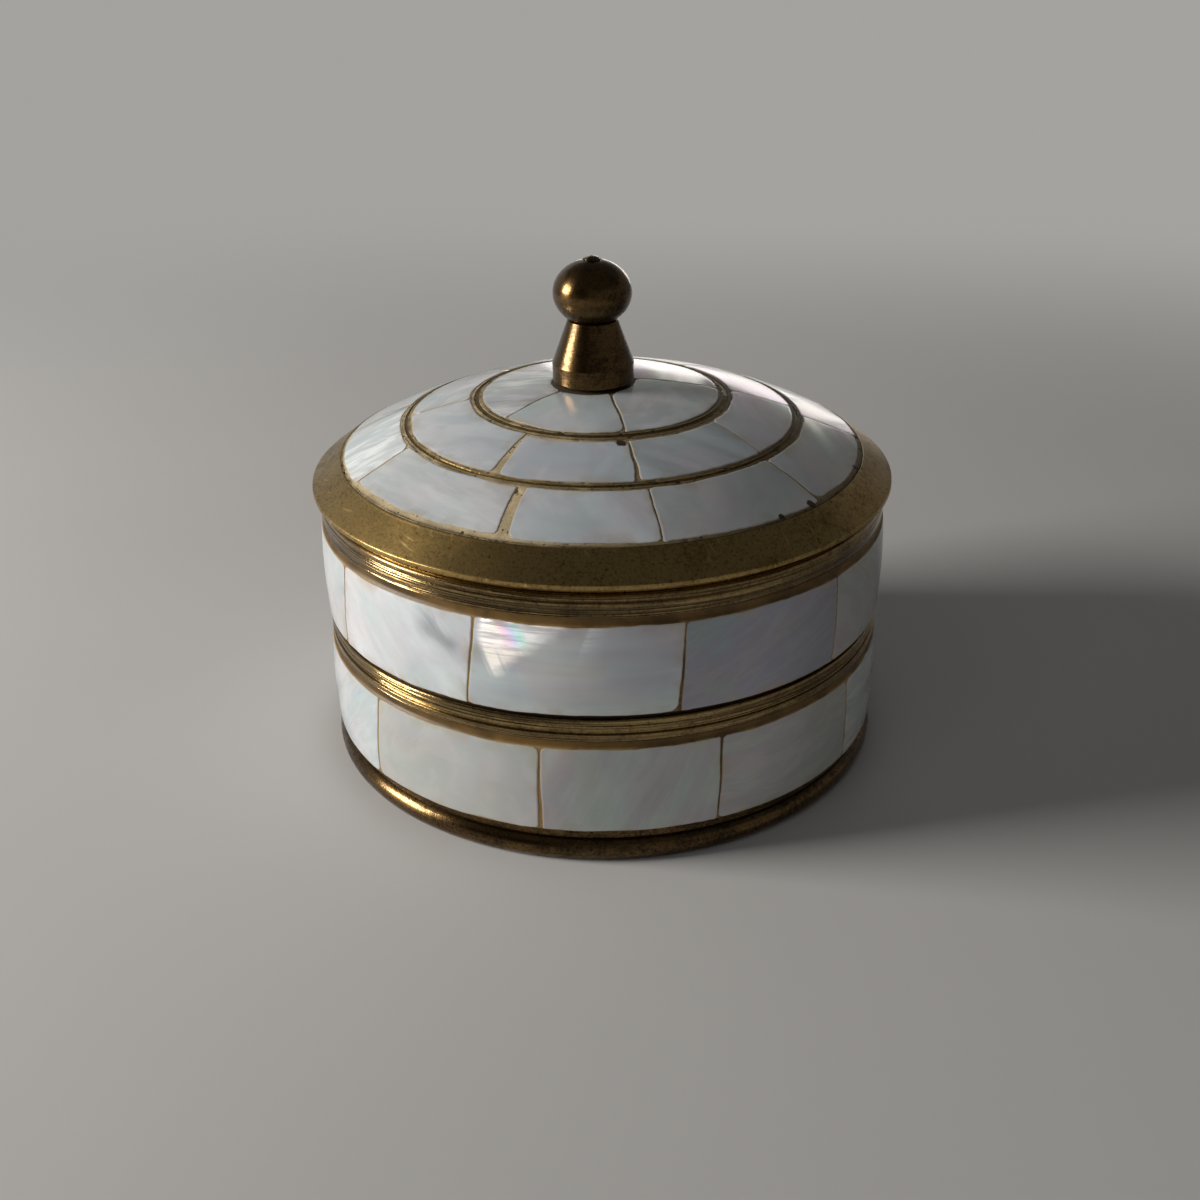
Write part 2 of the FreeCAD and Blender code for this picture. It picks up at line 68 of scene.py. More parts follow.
def section(node):
    """Least and greatest radius and height of a CAD node about the box's axis."""
    points = [vertex.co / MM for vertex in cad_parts[node].data.vertices]
    radii = [math.hypot(point.x, point.y) for point in points]
    heights = [point.z for point in points]
    return min(radii), max(radii), min(heights), max(heights)


def corners_of(node):
    """Lowest and highest corner of a CAD node."""
    return [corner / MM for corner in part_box(node)]


CUP_OUTER, BAND_RADIUS, BAND_LOW, BAND_HIGH = section("middle_band")
_, _, CUP_LOW, SEAT = section("body_cup")
FOOT_INNER, _, _, FOOT_HIGH = section("foot_ring")
_, CEMENT_FACE, _, _ = section("lower_cement")
_, _, _, LIP_LOW = section("upper_cement")
LOCATING_INNER, _, _, _ = section("lid_locating_ring")
_, LID_RADIUS, _, PAD_TOP = section("lid_dome")
OUTER_STRIP_LOW, OUTER_STRIP_HIGH, _, OUTER_STRIP_TOP = section("outer_divider")
INNER_STRIP_LOW, INNER_STRIP_HIGH, _, INNER_STRIP_TOP = section("inner_divider")
_, RIM_INNER, _, _ = section("outer_cement")
_, _, UPPER_TILE_LOW, UPPER_TILE_HIGH = section("upper_tile_01")
_, _, LOWER_TILE_LOW, LOWER_TILE_HIGH = section("lower_tile_01")

# The dome's sphere goes through the inner top edges of both dividers
DOME_CENTRE = (
    (OUTER_STRIP_LOW ** 2 + OUTER_STRIP_TOP ** 2 - INNER_STRIP_LOW ** 2 - INNER_STRIP_TOP ** 2)
    / (2 * (OUTER_STRIP_TOP - INNER_STRIP_TOP))
)
DOME_RADIUS = math.hypot(OUTER_STRIP_LOW, OUTER_STRIP_TOP - DOME_CENTRE)

KNOB_LOW, KNOB_HIGH = corners_of("knob_foot")
BALL_LOW, BALL_HIGH = corners_of("knob_ball")
RIVET_LOW, RIVET_HIGH = corners_of("knob_rivet")
WASHER_LOW, WASHER_HIGH = corners_of("rivet_washer")
KNOB_AXIS = (KNOB_LOW.x + KNOB_HIGH.x) / 2
KNOB_RADIUS = (KNOB_HIGH.x - KNOB_LOW.x) / 2
BALL_RADIUS = (BALL_HIGH.x - BALL_LOW.x) / 2

# Sizes that no box of the frame shows, as the solids have them
CUP_INNER = 36.0
FLOOR_TOP = 2.3
FLOOR_CORNER = 2.0
LIP_EDGE = 0.45
BAND_EDGE = 0.3
GROOVE_LOW, GROOVE_HIGH, GROOVE_DEPTH = 1.05, 1.8, 0.4
GAP_FACE = 38.5
BEAD_CENTRE = (37.7, 1.6)
BEAD_RADIUS = 1.75
FOOT_GROOVE = 38.3
FOOT_STEP = 0.7
STEP_RADIUS = 38.95
UNDERCUT_RADIUS = 38.4
RIM_LOW = SEAT + 1.1
RIM_EDGE = 0.6
DOME_WALL = 1.2
LID_BUILD_UP = 1.9
DOME_TOP = DOME_RADIUS - LID_BUILD_UP
PAD_RADIUS = 6.0
KNOB_HOLE = 6.2
TILE_HOLE = 5.62
KNOB_SPIGOT = 4.0
KNOB_BASE_LOW = 51.853
KNOB_SHOULDER = 54.303
CONE_TOP = 3.4
BALL_CENTRE = 63.803
BALL_HALF_HEIGHT = 4.4
RIVET_RADIUS = 1.1
NUB_RADIUS = 1.3
TAIL_RADIUS = 2.0
TILE_BACK = 38.1
TILE_EDGE = 39.3
TILE_CROWN = 0.25
LID_TILE = 1.4

# Sizes of the finer model alone, in millimetres
LIP_LINE = 1.03
LIP_LINE_HALF = 0.07
LIP_LINE_DEPTH = 0.08
FACE_RECESS = 0.09
STRIP_START = 0.35
BED_OVERLAP = 0.3
BED_UNDERLAP = 0.18
BED_UNDER_KNOB = 2.0
LID_TILE_REACH = 0.1
NUB_ROUND = 0.1
MARK_STEP = 0.05
ROUGH_STEP = 0.22
PLAIN_STEP = 1.2

# Tiles of the side and of the lid: share of the spread into the joints, and of the edge wear
SPREAD = (1.2, 1.4)
WEAR = (1.0, 1.5)
TILE_GRID = (44, 26)


def dome_height(radius, sphere=DOME_RADIUS):
    """Height of the dome, or of a sphere inside it, at this distance from the axis."""
    return DOME_CENTRE + math.sqrt(sphere ** 2 - radius ** 2)


# Settings that a user would change

def length(name, description, size):
    """A setting for a length, given in millimetres."""
    return FloatProperty(name=name, description=description, default=size * MM, unit="LENGTH", precision=5)


def tone(name, description, *default):
    """A setting for a colour."""
    return FloatVectorProperty(name=name, description=description, default=default, subtype="COLOR")


class PearlBoxTurning(bpy.types.PropertyGroup):
    """How the brass pieces are turned."""

    around: IntProperty(
        name="Steps around", description="Faces round each turned piece", default=240, min=24)
    mark_pitch: length("Tool mark pitch", "Distance between the lines left by the turning tool", 0.2)
    lip_marks: length("Band mark depth", "Depth of the tool marks on the lip and the middle band", 0.1)
    faint_marks: length("Faint mark depth", "Depth of the tool marks in the grooves and on the knob", 0.012)
    edge_round: length("Edge rounding", "Radius of the broken edges of turned brass", 0.12)


class PearlBoxTiles(bpy.types.PropertyGroup):
    """How the nacre tiles are cut and bedded."""

    edge_round: length("Edge rounding", "Radius worn onto the edges of each tile", 0.12)
    corner_round: length("Corner rounding", "Usual radius of a tile's corners", 0.55)
    edge_wear: length("Edge wear", "How far a tile's cut edges stray from a straight line", 0.13)
    unevenness: length("Unevenness", "Height of the waves left by grinding by hand", 0.03)
    spread: length("Spread", "How far a tile reaches past its solid into the joints", 0.1)
    cement_recess: length("Cement recess", "How far the lid's cement lies below its tiles", 0.12)
    cement_grain: length("Cement grain", "Roughness of the cement's face", 0.09)


class PearlBoxFinish(bpy.types.PropertyGroup):
    """Colours of the finishes."""

    brass: tone("Brass", "Rubbed brass", 0.44, 0.30, 0.112)
    tarnish: tone("Tarnish", "Brass where it has dulled", 0.17, 0.10, 0.028)
    dark_brass: tone("Dark brass", "Rubbed parts of the dark brass pieces", 0.17, 0.10, 0.034)
    dark_tarnish: tone("Dark tarnish", "Dulled parts of the dark brass pieces", 0.032, 0.018, 0.008)
    strip_brass: tone("Strip brass", "Rubbed parts of the strips on the lid", 0.23, 0.155, 0.055)
    strip_tarnish: tone("Strip tarnish", "Dulled parts of those strips", 0.075, 0.048, 0.018)
    nacre: tone("Nacre", "Main tone of the nacre", 0.50, 0.57, 0.63)
    nacre_light: tone("Nacre light", "Brightest layers of the nacre", 0.83, 0.86, 0.87)
    nacre_warm: tone("Nacre warm", "Creamy tone of the warmer tiles", 0.70, 0.69, 0.62)
    nacre_lilac: tone("Nacre lilac", "Lavender tone of some tiles", 0.50, 0.53, 0.62)
    amber: tone("Amber cement", "Cement in the strips over the side rows", 0.18, 0.102, 0.03)
    joint: tone("Joint cement", "Cement in the joints of the side rows", 0.36, 0.23, 0.09)
    sand: tone("Sandy cement", "Cement of the lid", 0.62, 0.49, 0.29)
    floor: tone("Floor", "Colour of the floor", 0.62, 0.61, 0.595)
    backdrop: tone("Backdrop", "Colour of the backdrop", 0.37, 0.365, 0.35)


SETTINGS = {
    "pearl_turning": PearlBoxTurning,
    "pearl_tiles": PearlBoxTiles,
    "pearl_finish": PearlBoxFinish,
}


# Node trees

class Field:
    """A socket of a node tree. Sums and products of fields add Math nodes to the tree."""

    def __init__(self, tree, socket):
        self.tree = tree
        self.socket = socket

    def math(self, operation, *others):
        return calculate(self.tree, operation, self, *others)

    def __add__(self, other):
        return self.math("ADD", other)

    def __sub__(self, other):
        return self.math("SUBTRACT", other)

    def __rsub__(self, other):
        return calculate(self.tree, "SUBTRACT", other, self)

    def __mul__(self, other):
        return self.math("MULTIPLY", other)

    def __truediv__(self, other):
        return self.math("DIVIDE", other)

    def __rtruediv__(self, other):
        return calculate(self.tree, "DIVIDE", other, self)

    __radd__ = __add__
    __rmul__ = __mul__

    def least(self, other):
        return self.math("MINIMUM", other)

    def most(self, other):
        return self.math("MAXIMUM", other)

    def smooth(self, low, high):
        """Rises softly from 0 at low to 1 at high."""
        return result(self.tree, "ShaderNodeMapRange", {
            "Value": self, "From Min": low, "From Max": high,
        }, "Result", interpolation_type="SMOOTHSTEP")

    def between(self, first, second):
        """The number between first and second at this share."""
        return (second - first) * self + first


def fill(tree, node, values):
    """Link a node's inputs to fields, or set their own values."""
    for key, value in values.items():
        if isinstance(value, Field):
            tree.links.new(value.socket, node.inputs[key])
        else:
            node.inputs[key].default_value = value


def add(tree, kind, values=None, **settings):
    """Add a node with its settings and inputs."""
    node = tree.nodes.new(kind)
    for key, value in settings.items():
        setattr(node, key, value)
    fill(tree, node, values or {})
    return node


def result(tree, kind, values=None, output=0, **settings):
    """One output of a new node."""
    return Field(tree, add(tree, kind, values, **settings).outputs[output])


def calculate(tree, operation, *values):
    """A Math node on fields and numbers."""
    return result(tree, "ShaderNodeMath", dict(enumerate(values)), operation=operation)


def vector(tree, x, y, z):
    """A vector of three fields or numbers."""
    return result(tree, "ShaderNodeCombineXYZ", {"X": x, "Y": y, "Z": z})


def parts(field):
    """The three numbers of a vector or colour."""
    node = add(field.tree, "ShaderNodeSeparateXYZ", {"Vector": field})
    return [Field(field.tree, socket) for socket in node.outputs]


def scaled(field, amount):
    """A vector times a number."""
    return result(field.tree, "ShaderNodeVectorMath", {0: field, "Scale": amount}, operation="SCALE")


def combined(first, second, operation="ADD"):
    """A sum or product of two vectors."""
    return result(first.tree, "ShaderNodeVectorMath", {0: first, 1: second}, operation=operation)


def stretched(place, *amounts):
    """A place with each of its coordinates scaled."""
    return combined(place, amounts, "MULTIPLY")


def rotated(place, axis, angle):
    """A place turned about an axis of the frame."""
    return result(place.tree, "ShaderNodeVectorRotate", {
        "Vector": place, "Angle": angle,
    }, rotation_type=axis + "_AXIS")


def ring_point(radius, turn, height):
    """The point at a distance from the box's axis, an angle from the front and a height."""
    return vector(turn.tree, radius * turn.math("SINE"), radius * turn.math("COSINE") * -1.0, height)


def noise(place, scale, detail=2.0, seed=0.0, colour=False, roughness=0.5, distortion=0.0):
    """Noise at a place; its colour holds three separate noises."""
    return result(place.tree, "ShaderNodeTexNoise", {
        "Vector": place, "Scale": scale, "Detail": detail, "Roughness": roughness, "Distortion": distortion,
        "W": seed,
    }, int(colour), noise_dimensions="4D")


def keyword(label):
    """The name of a tree's input as this script writes it."""
    return label.lower().replace(" ", "_")


def new_shape_tree(name, **labels):
    """An empty Geometry Nodes tree, its inputs named for each kind; gives the tree and their fields."""
    tree = bpy.data.node_groups.new(name, "GeometryNodeTree")
    inputs = [("Geometry", "Geometry")]
    inputs += [(label, kind) for kind, group in labels.items() for label in group.split(", ")]
    for label, kind in inputs:
        tree.interface.new_socket(name=label, in_out="INPUT", socket_type="NodeSocket" + kind)
    tree.interface.new_socket(name="Geometry", in_out="OUTPUT", socket_type="NodeSocketGeometry")
    entry = tree.nodes.new("NodeGroupInput")
    fields = {keyword(socket.name): Field(tree, socket) for socket in entry.outputs if socket.name}
    return tree, SimpleNamespace(**fields)


def finish_shape_tree(tree, geometry, material):
    """Close a tree with Realize Instances and Set Material."""
    real = result(tree, "GeometryNodeRealizeInstances", {"Geometry": geometry})
    painted = result(tree, "GeometryNodeSetMaterial", {"Geometry": real, "Material": material})
    add(tree, "NodeGroupOutput", {0: painted})
    return tree


def named(tree, name):
    """A stored vector as a field."""
    return result(tree, "GeometryNodeInputNamedAttribute", {
        "Name": name,
    }, "Attribute", data_type="FLOAT_VECTOR")


def stored(geometry, name, value, kind="FLOAT_VECTOR"):
    """Geometry with one more attribute on its points."""
    return result(geometry.tree, "GeometryNodeStoreNamedAttribute", {
        "Geometry": geometry, "Name": name, "Value": value,
    }, data_type=kind, domain="POINT")


def placed(geometry, position, selection=True):
    """Geometry with its points moved."""
    return result(geometry.tree, "GeometryNodeSetPosition", {
        "Geometry": geometry, "Selection": selection, "Position": position,
    })


def welded(geometry):
    """Geometry with its seams and poles closed."""
    return result(geometry.tree, "GeometryNodeMergeByDistance", {
        "Geometry": geometry, "Distance": 0.0005 * MM,
    })


def grid(tree, across, along):
    """A grid, and each point's place in it along both of its sides, counted from nought."""
    mesh = result(tree, "GeometryNodeMeshGrid", {"Vertices X": across, "Vertices Y": along})
    index = result(tree, "GeometryNodeInputIndex")
    safe_side = 0.5 / 4096
    column = (index / along + safe_side).math("FLOOR")
    return mesh, column, index - column * along


@cache
def turned_tree():
    """Turns a half section about the axis, with tool marks, grain, pits and a slight warp."""
    tree, given = new_shape_tree(
        "Turned section", Int="Around", Vector="Axis", Material="Material",
        Float="Mark pitch, Grain, Grain size, Pits, Warp, Warp size, Seed")
    outline = given.geometry
    count = result(tree, "GeometryNodeAttributeDomainSize", {
        "Geometry": outline,
    }, "Point Count", component="MESH")
    mesh, column, row = grid(tree, count, given.around + 1.0)

    def along_outline(value):
        return parts(result(tree, "GeometryNodeSampleIndex", {
            "Geometry": outline, "Value": value, "Index": column,
        }, data_type="FLOAT_VECTOR", domain="POINT"))

    radius, _, height = along_outline(result(tree, "GeometryNodeInputPosition"))
    out, _, up = along_outline(named(tree, "outward"))
    mark, rough, run = along_outline(named(tree, "surface"))
    turn = row / given.around * math.tau
    on_ring = ring_point(radius, turn, height)
    drift = 1.3
    along_marks = vector(
        tree, turn.math("SINE") * drift, turn.math("COSINE") * drift, run / given.mark_pitch)
    marks = noise(along_marks, 1.0, 3.0, given.seed).smooth(0.3, 0.7) * mark
    grain = noise(on_ring, 1.0 / given.grain_size, 4.0, given.seed) * given.grain * rough
    pits = noise(on_ring, 0.45 / given.grain_size, 2.0, given.seed + 5.0).smooth(0.62, 0.74)
    warp = noise(on_ring, 1.0 / given.warp_size, 1.0, given.seed + 9.0) * given.warp
    sunk = marks + grain + pits * given.pits * rough + warp * rough.most(0.0)
    place = combined(ring_point(radius - sunk * out, turn, height - sunk * up), given.axis)
    mesh = stored(mesh, "marked", marks / MM, "FLOAT")
    return finish_shape_tree(tree, welded(placed(mesh, place)), given.material)


@cache
def tile_tree():
    """Cuts one tile between two leaning ends, on the barrel of the wall or on the dome of the lid."""
    tree, given = new_shape_tree(
        "Nacre tile", Int="Across, Along", Vector="Tone, Glow", Material="Material",
        Float="Start low, Start high, End low, End high, Low, High, On lid, Edge radius, Crown, "
              "Dome radius, Dome centre, Hole radius, Hole offset, Thickness, Edge round, Corner round, "
              "Edge wear, Unevenness")
    mesh, column, row = grid(tree, given.across, given.along)
    seed, _, _ = parts(given.tone)
    u = 0.5 - (column / (given.across - 1.0) * math.pi).math("COSINE") * 0.5
    v = 0.5 - (row / (given.along - 1.0) * math.pi).math("COSINE") * 0.5
    start = v.between(given.start_low, given.start_high)
    end = v.between(given.end_low, given.end_high)
    straight = u.between(start, end)

    # A tile round the knob starts at the rim of the knob's hole, which is off the lid's axis
    toward = given.hole_offset * straight.math("SINE")
    room = given.hole_radius * given.hole_radius - given.hole_offset * given.hole_offset
    hole = toward + (toward * toward + room).most(0.0).math("SQRT")
    low = given.low.most(hole)
    level = v.between(low, given.high)
    reach = given.on_lid.between(given.edge_radius, level)
    width = (end - start) * reach
    height = given.high - low
    near_end = (u * width).least((1.0 - u) * width)
    near_side = (v * height).least((1.0 - v) * height)
    edge = near_end.least(near_side)

    # Joints wander together with the tiles beside them; each edge is chipped in its own way
    cut = vector(tree, straight * reach, level, 0.0)
    wander, chips = 4.0, 1.6
    shared = scaled(noise(ring_point(reach, straight, level), 0.16 / MM, 1.0, colour=True), wander)
    stray = combined(shared, scaled(noise(cut, 1.4 / MM, 2.0, seed, colour=True), chips))
    stray_turn, stray_level, _ = parts(stray)
    mean = (wander + chips) / 2

    # Square corners are pulled in onto arcs
    which = (u - 0.5).math("SIGN") * 1.3 + (v - 0.5).math("SIGN") * 2.1 + seed * 5.3
    corner = given.corner_round * ((which * 2.0).math("SINE") * 0.8 + 1.0)
    in_end = (corner - near_end).most(0.0)
    in_side = (corner - near_side).most(0.0)
    diagonal = (in_end * in_end + in_side * in_side + 1e-14).math("SQRT")
    pull = 1.0 - in_end.most(in_side) / diagonal
    inward_end = (0.5 - u).math("SIGN") * in_end * pull
    inward_side = (0.5 - v).math("SIGN") * in_side * pull
    turn = straight + ((stray_turn - mean) * given.edge_wear + inward_end) / reach
    level = level + (stray_level - mean) * given.edge_wear + inward_side

    worn = (1.0 - edge / given.edge_round).most(0.0)
    drop = (1.0 - (1.0 - worn * worn).most(0.0).math("SQRT")) * given.edge_round
    waves = noise(cut, 0.16 / MM, 1.0, seed + 3.0) * given.unevenness * 2.0
    middle = (given.high + given.low) * 0.5
    off_middle = (level - middle) / (given.high - middle)
    swell = (1.0 - off_middle * off_middle) * given.crown
    rise = (given.dome_radius * given.dome_radius - level * level).math("SQRT")

    def at_depth(depth):
        share = 1.0 - depth / given.dome_radius
        away = given.on_lid.between(given.edge_radius + swell - depth, level * share)
        upward = given.on_lid.between(level, given.dome_centre + rise * share)
        return ring_point(away, turn, upward)

    mesh = stored(mesh, "face_place", at_depth(drop + waves))
    mesh = stored(mesh, "tile_place", vector(tree, u, v, edge / MM))
    mesh = stored(mesh, "tone", given.tone)
    mesh = stored(mesh, "glow", given.glow)
    back = placed(mesh, at_depth(given.thickness))
    raised = add(tree, "GeometryNodeExtrudeMesh", {
        "Mesh": back, "Offset Scale": 0.0, "Individual": False,
    }, mode="FACES")
    top = Field(tree, raised.outputs["Top"])
    front = placed(Field(tree, raised.outputs["Mesh"]), named(tree, "face_place"), top)
    under = result(tree, "GeometryNodeFlipFaces", {"Mesh": back})
    joined = add(tree, "GeometryNodeJoinGeometry", {0: front})
    fill(tree, joined, {0: under})
    return finish_shape_tree(tree, welded(Field(tree, joined.outputs[0])), given.material)


# Materials

def new_material(name):
    """A material with its tree, its Principled shader and the place on the object in millimetres."""
    material = bpy.data.materials.new(name)
    material.use_nodes = True
    tree = material.node_tree
    shader = next(node for node in tree.nodes if node.type == "BSDF_PRINCIPLED")
    place = scaled(result(tree, "ShaderNodeTexCoord", output="Object"), 1.0 / MM)
    return material, tree, shader, place


def attribute(tree, name):
    """The three numbers of an attribute of the mesh."""
    return parts(result(tree, "ShaderNodeAttribute", output="Vector", attribute_name=name))


def blend(share, first, second):
    """A mix of two colours."""
    first, second = (part if isinstance(part, Field) else (*part, 1.0) for part in (first, second))
    return result(share.tree, "ShaderNodeMix", {0: share, 6: first, 7: second}, 2, data_type="RGBA")


def layered(colour, *layers):
    """A colour under layers, each given as its share and its own colour."""
    for share, layer in layers:
        colour = blend(share, colour, layer)
    return colour


def times(colour, amount):
    """A plain colour, darker or lighter."""
    return [part * amount for part in colour]


def relief(height, depth, strength):
    """A bump from a field between 0 and 1, this deep."""
    return result(height.tree, "ShaderNodeBump", {
        "Strength": strength, "Distance": depth, "Height": height,
    })


def round_axis(place, axis=0.0):
    """Distance from an upright axis, height, and the two shares of the direction."""
    x, y, z = parts(place)
    x = x - axis
    radius = (x * x + y * y).math("SQRT").most(0.01)
    return radius, z, x / radius, y / radius


def turned_brass(name, rubbed, tarnish, dull, axis=0.0, lines=1.0, gloss=(0.24, 0.46), grained=0.7,
                 mottled=1.0, coat=0.0, scratched=0.0):
    """Brass with fine turning lines, dulled patches and speckle.

    dull is the share of tarnish, lines the strength of the turning lines, gloss the roughness range,
    grained how far the lines draw out the highlights, mottled the strength of the speckle, coat that of
    the film of lacquer and scratched that of the scratches.
    """
    material, tree, shader, place = new_material(name)
    radius, height, side, front = round_axis(place, axis)
    marked, _, _ = attribute(tree, "marked")
    lathe = vector(tree, radius * 6.0 + side * 0.7, height * 6.0 + front * 0.7, side * 1.5)
    fine = noise(lathe, 1.0, 4.0)
    coarse = noise(lathe, 0.3, 2.0, 4.0)
    patches = noise(place, 0.25, 4.0, 1.0, roughness=0.62)
    mottle = noise(place, 1.3, 4.0, 6.0, roughness=0.65)
    speckle = noise(place, 3.0, 3.0, 2.0)
    pits = noise(place, 1.4, 2.0, 7.0).smooth(0.66, 0.74)
    scratches = noise(stretched(rotated(place, "Z", 0.9), 0.15, 2.6, 0.6), 1.0, 1.0, 11.0)
    aged = patches * 0.4 + mottle * 0.35 + fine * 0.22 * lines + coarse * 0.22 * lines + speckle * 0.15
    start = (0.9 + 0.44 * lines) / 2 - 0.34 * dull
    aged = aged.smooth(start + 0.12, start + 0.34)
    colour = layered(
        rubbed,
        (aged, tarnish),
        (speckle.smooth(0.52, 0.68) * 0.5 * mottled, times(tarnish, 0.4)),
        ((1.0 - speckle).smooth(0.55, 0.7) * 0.3 * mottled, times(rubbed, 1.25)),
        (marked.smooth(0.025, 0.08) * 0.75, times(tarnish, 0.3)),
        (pits * 0.7, times(tarnish, 0.3)),
        (scratches.smooth(0.69, 0.72) * scratched, times(rubbed, 1.7)),
    )
    surface = fine * 0.5 * lines + coarse * 0.7 * lines - pits * 0.3
    surface = surface + (speckle * 0.35 + mottle * 0.5) * mottled
    fill(tree, shader, {
        "Base Color": colour, "Roughness": aged.between(*gloss), "Metallic": 1.0,
        "Coat Weight": coat, "Coat Roughness": 0.14,
        "Anisotropic": grained, "Anisotropic Rotation": 0.25,
        "Tangent": result(tree, "ShaderNodeTangent", direction_type="RADIAL", axis="Z"),
        "Normal": relief(surface, 0.045 * MM, 0.7),
    })
    return material


def nacre_finish(finish):
    """Nacre: milky layers, soft growth bands, fine grinding lines and a film of colour, with a painted
    flash, painted sheen and painted light and shade on chosen tiles.
    """
    material, tree, shader, place = new_material("nacre")
    seed, warmth, lilac = attribute(tree, "tone")
    flash, painted_sheen, light = attribute(tree, "glow")
    across, up, edge = attribute(tree, "tile_place")
    own = combined(place, vector(tree, seed * 31.0, seed * 17.0, seed * 53.0))
    leaning = rotated(rotated(own, "Z", seed * 2.4), "Y", seed * 1.7 + 0.5)
    grown = stretched(leaning, 0.1, 0.1, 1.0)
    cloud = noise(own, 0.09, 2.0, 0.0, distortion=0.6)
    bands = noise(grown, 0.3, 2.5, 2.0, distortion=0.4)
    fine_bands = noise(grown, 1.3, 2.0, 4.0, distortion=0.3)
    hue = noise(own, 0.12, 1.0, 6.0, distortion=0.6)
    ripple = noise(stretched(leaning, 0.25, 0.25, 1.0), 0.7, 2.0, 3.0, distortion=1.0)
    hair = noise(stretched(own, 0.12, 0.12, 2.4), 1.0, 4.0, 8.0, roughness=0.7)
    pale = cloud.smooth(0.36, 0.66) * 0.55 + bands.smooth(0.32, 0.68) * 0.45
    lavender = lilac * (cloud * 0.6 + hue * 0.4).smooth(0.3, 0.6).between(0.45, 1.0)
    colour = layered(
        finish.nacre,
        (pale, finish.nacre_light),
        (hue.smooth(0.48, 0.64) * 0.42, (0.80, 0.68, 0.68)),
        ((1.0 - hue).smooth(0.5, 0.66) * 0.42, (0.57, 0.71, 0.71)),
        (warmth, finish.nacre_warm),
        (lavender, finish.nacre_lilac),
        (fine_bands.smooth(0.5, 0.75) * 0.13, (0.46, 0.48, 0.51)),
        # Painted reflection: ripples of silvery sheen, bright with darker troughs, on chosen tiles
        (painted_sheen * (1.0 - ripple).smooth(0.42, 0.62), (0.50, 0.56, 0.62)),
        (painted_sheen * ripple.smooth(0.46, 0.62), (0.96, 0.97, 0.98)),
        # Painted light: tiles facing the window lamp are lightened
        (light, (0.92, 0.94, 0.94)),
        (hair.smooth(0.52, 0.75) * 0.08, (0.42, 0.43, 0.45)),
    )

    # A tile may be dimmer than the others, as painted shade on tiles away from the window lamp, or smoky
    # along a short slanting streak
    colour = scaled(colour, 1.0 - (0.0 - light).most(0.0))
    along = (across - 0.66) / 0.27
    off = (up - 0.82 + along * 0.2 + (ripple - 0.5) * 0.3).math("ABSOLUTE")
    smoke = (1.0 - off.smooth(0.0, 0.2)) * along.smooth(-0.2, 0.3) * (1.0 - along.smooth(0.8, 1.15))
    smoke = smoke * (0.0 - flash).most(0.0) * bands.between(0.6, 1.0)

    # A painted highlight: a white and rainbow flash painted in the corner of a tile whose layers lean to the
    # light, crossed by grinding lines
    left = across - (0.8 - up).most(0.0) * 0.23
    right = up * 0.48 - 0.03 - across + (ripple - 0.5) * 0.14
    inside = left.smooth(-0.004, 0.05) * right.smooth(-0.03, 0.1) * up.smooth(0.22, 0.5)
    scored = vector(tree, across * 22.6 + up * 6.0, seed, 0.0)
    scores = noise(scored, 2.6, 3.0, 9.0).smooth(0.3, 0.55)
    ground_lines = up.smooth(0.5, 0.75).between(scores, hair.smooth(0.38, 0.55))
    inside = inside * ground_lines.between(0.3, 1.0)
    beside = across - 0.43 - up * 0.12
    second = beside.smooth(-0.006, 0.01) * (1.0 - beside.smooth(0.0, 0.12))
    second = second * up.smooth(0.55, 1.0) * hair.smooth(0.3, 0.65)
    gleam = ((inside + second * 0.45) * flash).least(1.0).most(0.0)
    bow = across * 6.2 + up * 1.6 - 2.1 + (ripple - 0.5) * 0.7
    rainbow = layered(
        (0.96, 0.95, 0.92),
        (bow.smooth(0.0, 0.25), (0.92, 0.68, 0.86)),
        (bow.smooth(0.25, 0.45), (0.64, 0.71, 0.97)),
        (bow.smooth(0.45, 0.65), (0.56, 0.92, 0.85)),
        (bow.smooth(0.65, 1.0), (0.95, 0.96, 0.95)),
        (1.0 - up.smooth(0.66, 0.84), (0.97, 0.94, 0.87)),
    )

    # Translucent cut edges show the cement; old holes reach into some of them
    stain = (1.0 - edge.smooth(0.1, 1.9)) * noise(own, 0.3, 2.0, 14.0).smooth(0.46, 0.64)
    holes = old_holes(place)
    colour = layered(
        colour,
        (smoke, (0.27, 0.31, 0.32)),
        # Painted highlight: the flash and its rainbow
        (gleam, rainbow),
        (stain * 0.4, (0.50, 0.42, 0.28)),
        ((1.0 - edge.smooth(0.02, 0.2)) * 0.65, (0.42, 0.33, 0.19)),
        (holes, (0.05, 0.03, 0.015)),
    )

    # The layers lie at slightly different slants, so patches of a tile catch the light
    slant = combined(noise(grown, 0.3, 0.5, 12.0, colour=True), (-0.5, -0.5, -0.5))
    slant = scaled(slant, painted_sheen * 0.9 + 0.2)
    surface = hair * 0.5 + ripple * 0.25 + fine_bands * 0.25 - holes * 4.0
    ground = relief(surface, 0.014 * MM, 0.5)
    to_light = scaled(vector(tree, -0.6, 0.3, 0.5), gleam * 0.56)
    normal = combined(combined(ground, slant), to_light)
    fill(tree, shader, {
        "Base Color": colour, "Roughness": bands.between(0.2, 0.32), "Metallic": 0.15, "IOR": 1.6,
        "Coat Weight": 0.3, "Coat Roughness": 0.1, "Coat Normal": ground,
        "Thin Film IOR": 1.45, "Thin Film Thickness": (cloud + bands).between(150.0, 520.0),
        "Normal": result(tree, "ShaderNodeVectorMath", {0: normal}, operation="NORMALIZE"),
    })
    return material


# Old holes beside the lid's tiles: place and radius in millimetres
LID_HOLES = (
    (2.5, -18.5, 0.85), (33.55, -11.5, 0.6), (21.9, -27.85, 0.55), (26.0, -23.9, 0.7),
    (-16.8, -31.35, 0.3), (-20.7, 28.5, 0.45), (30.6, 18.2, 0.4),
)


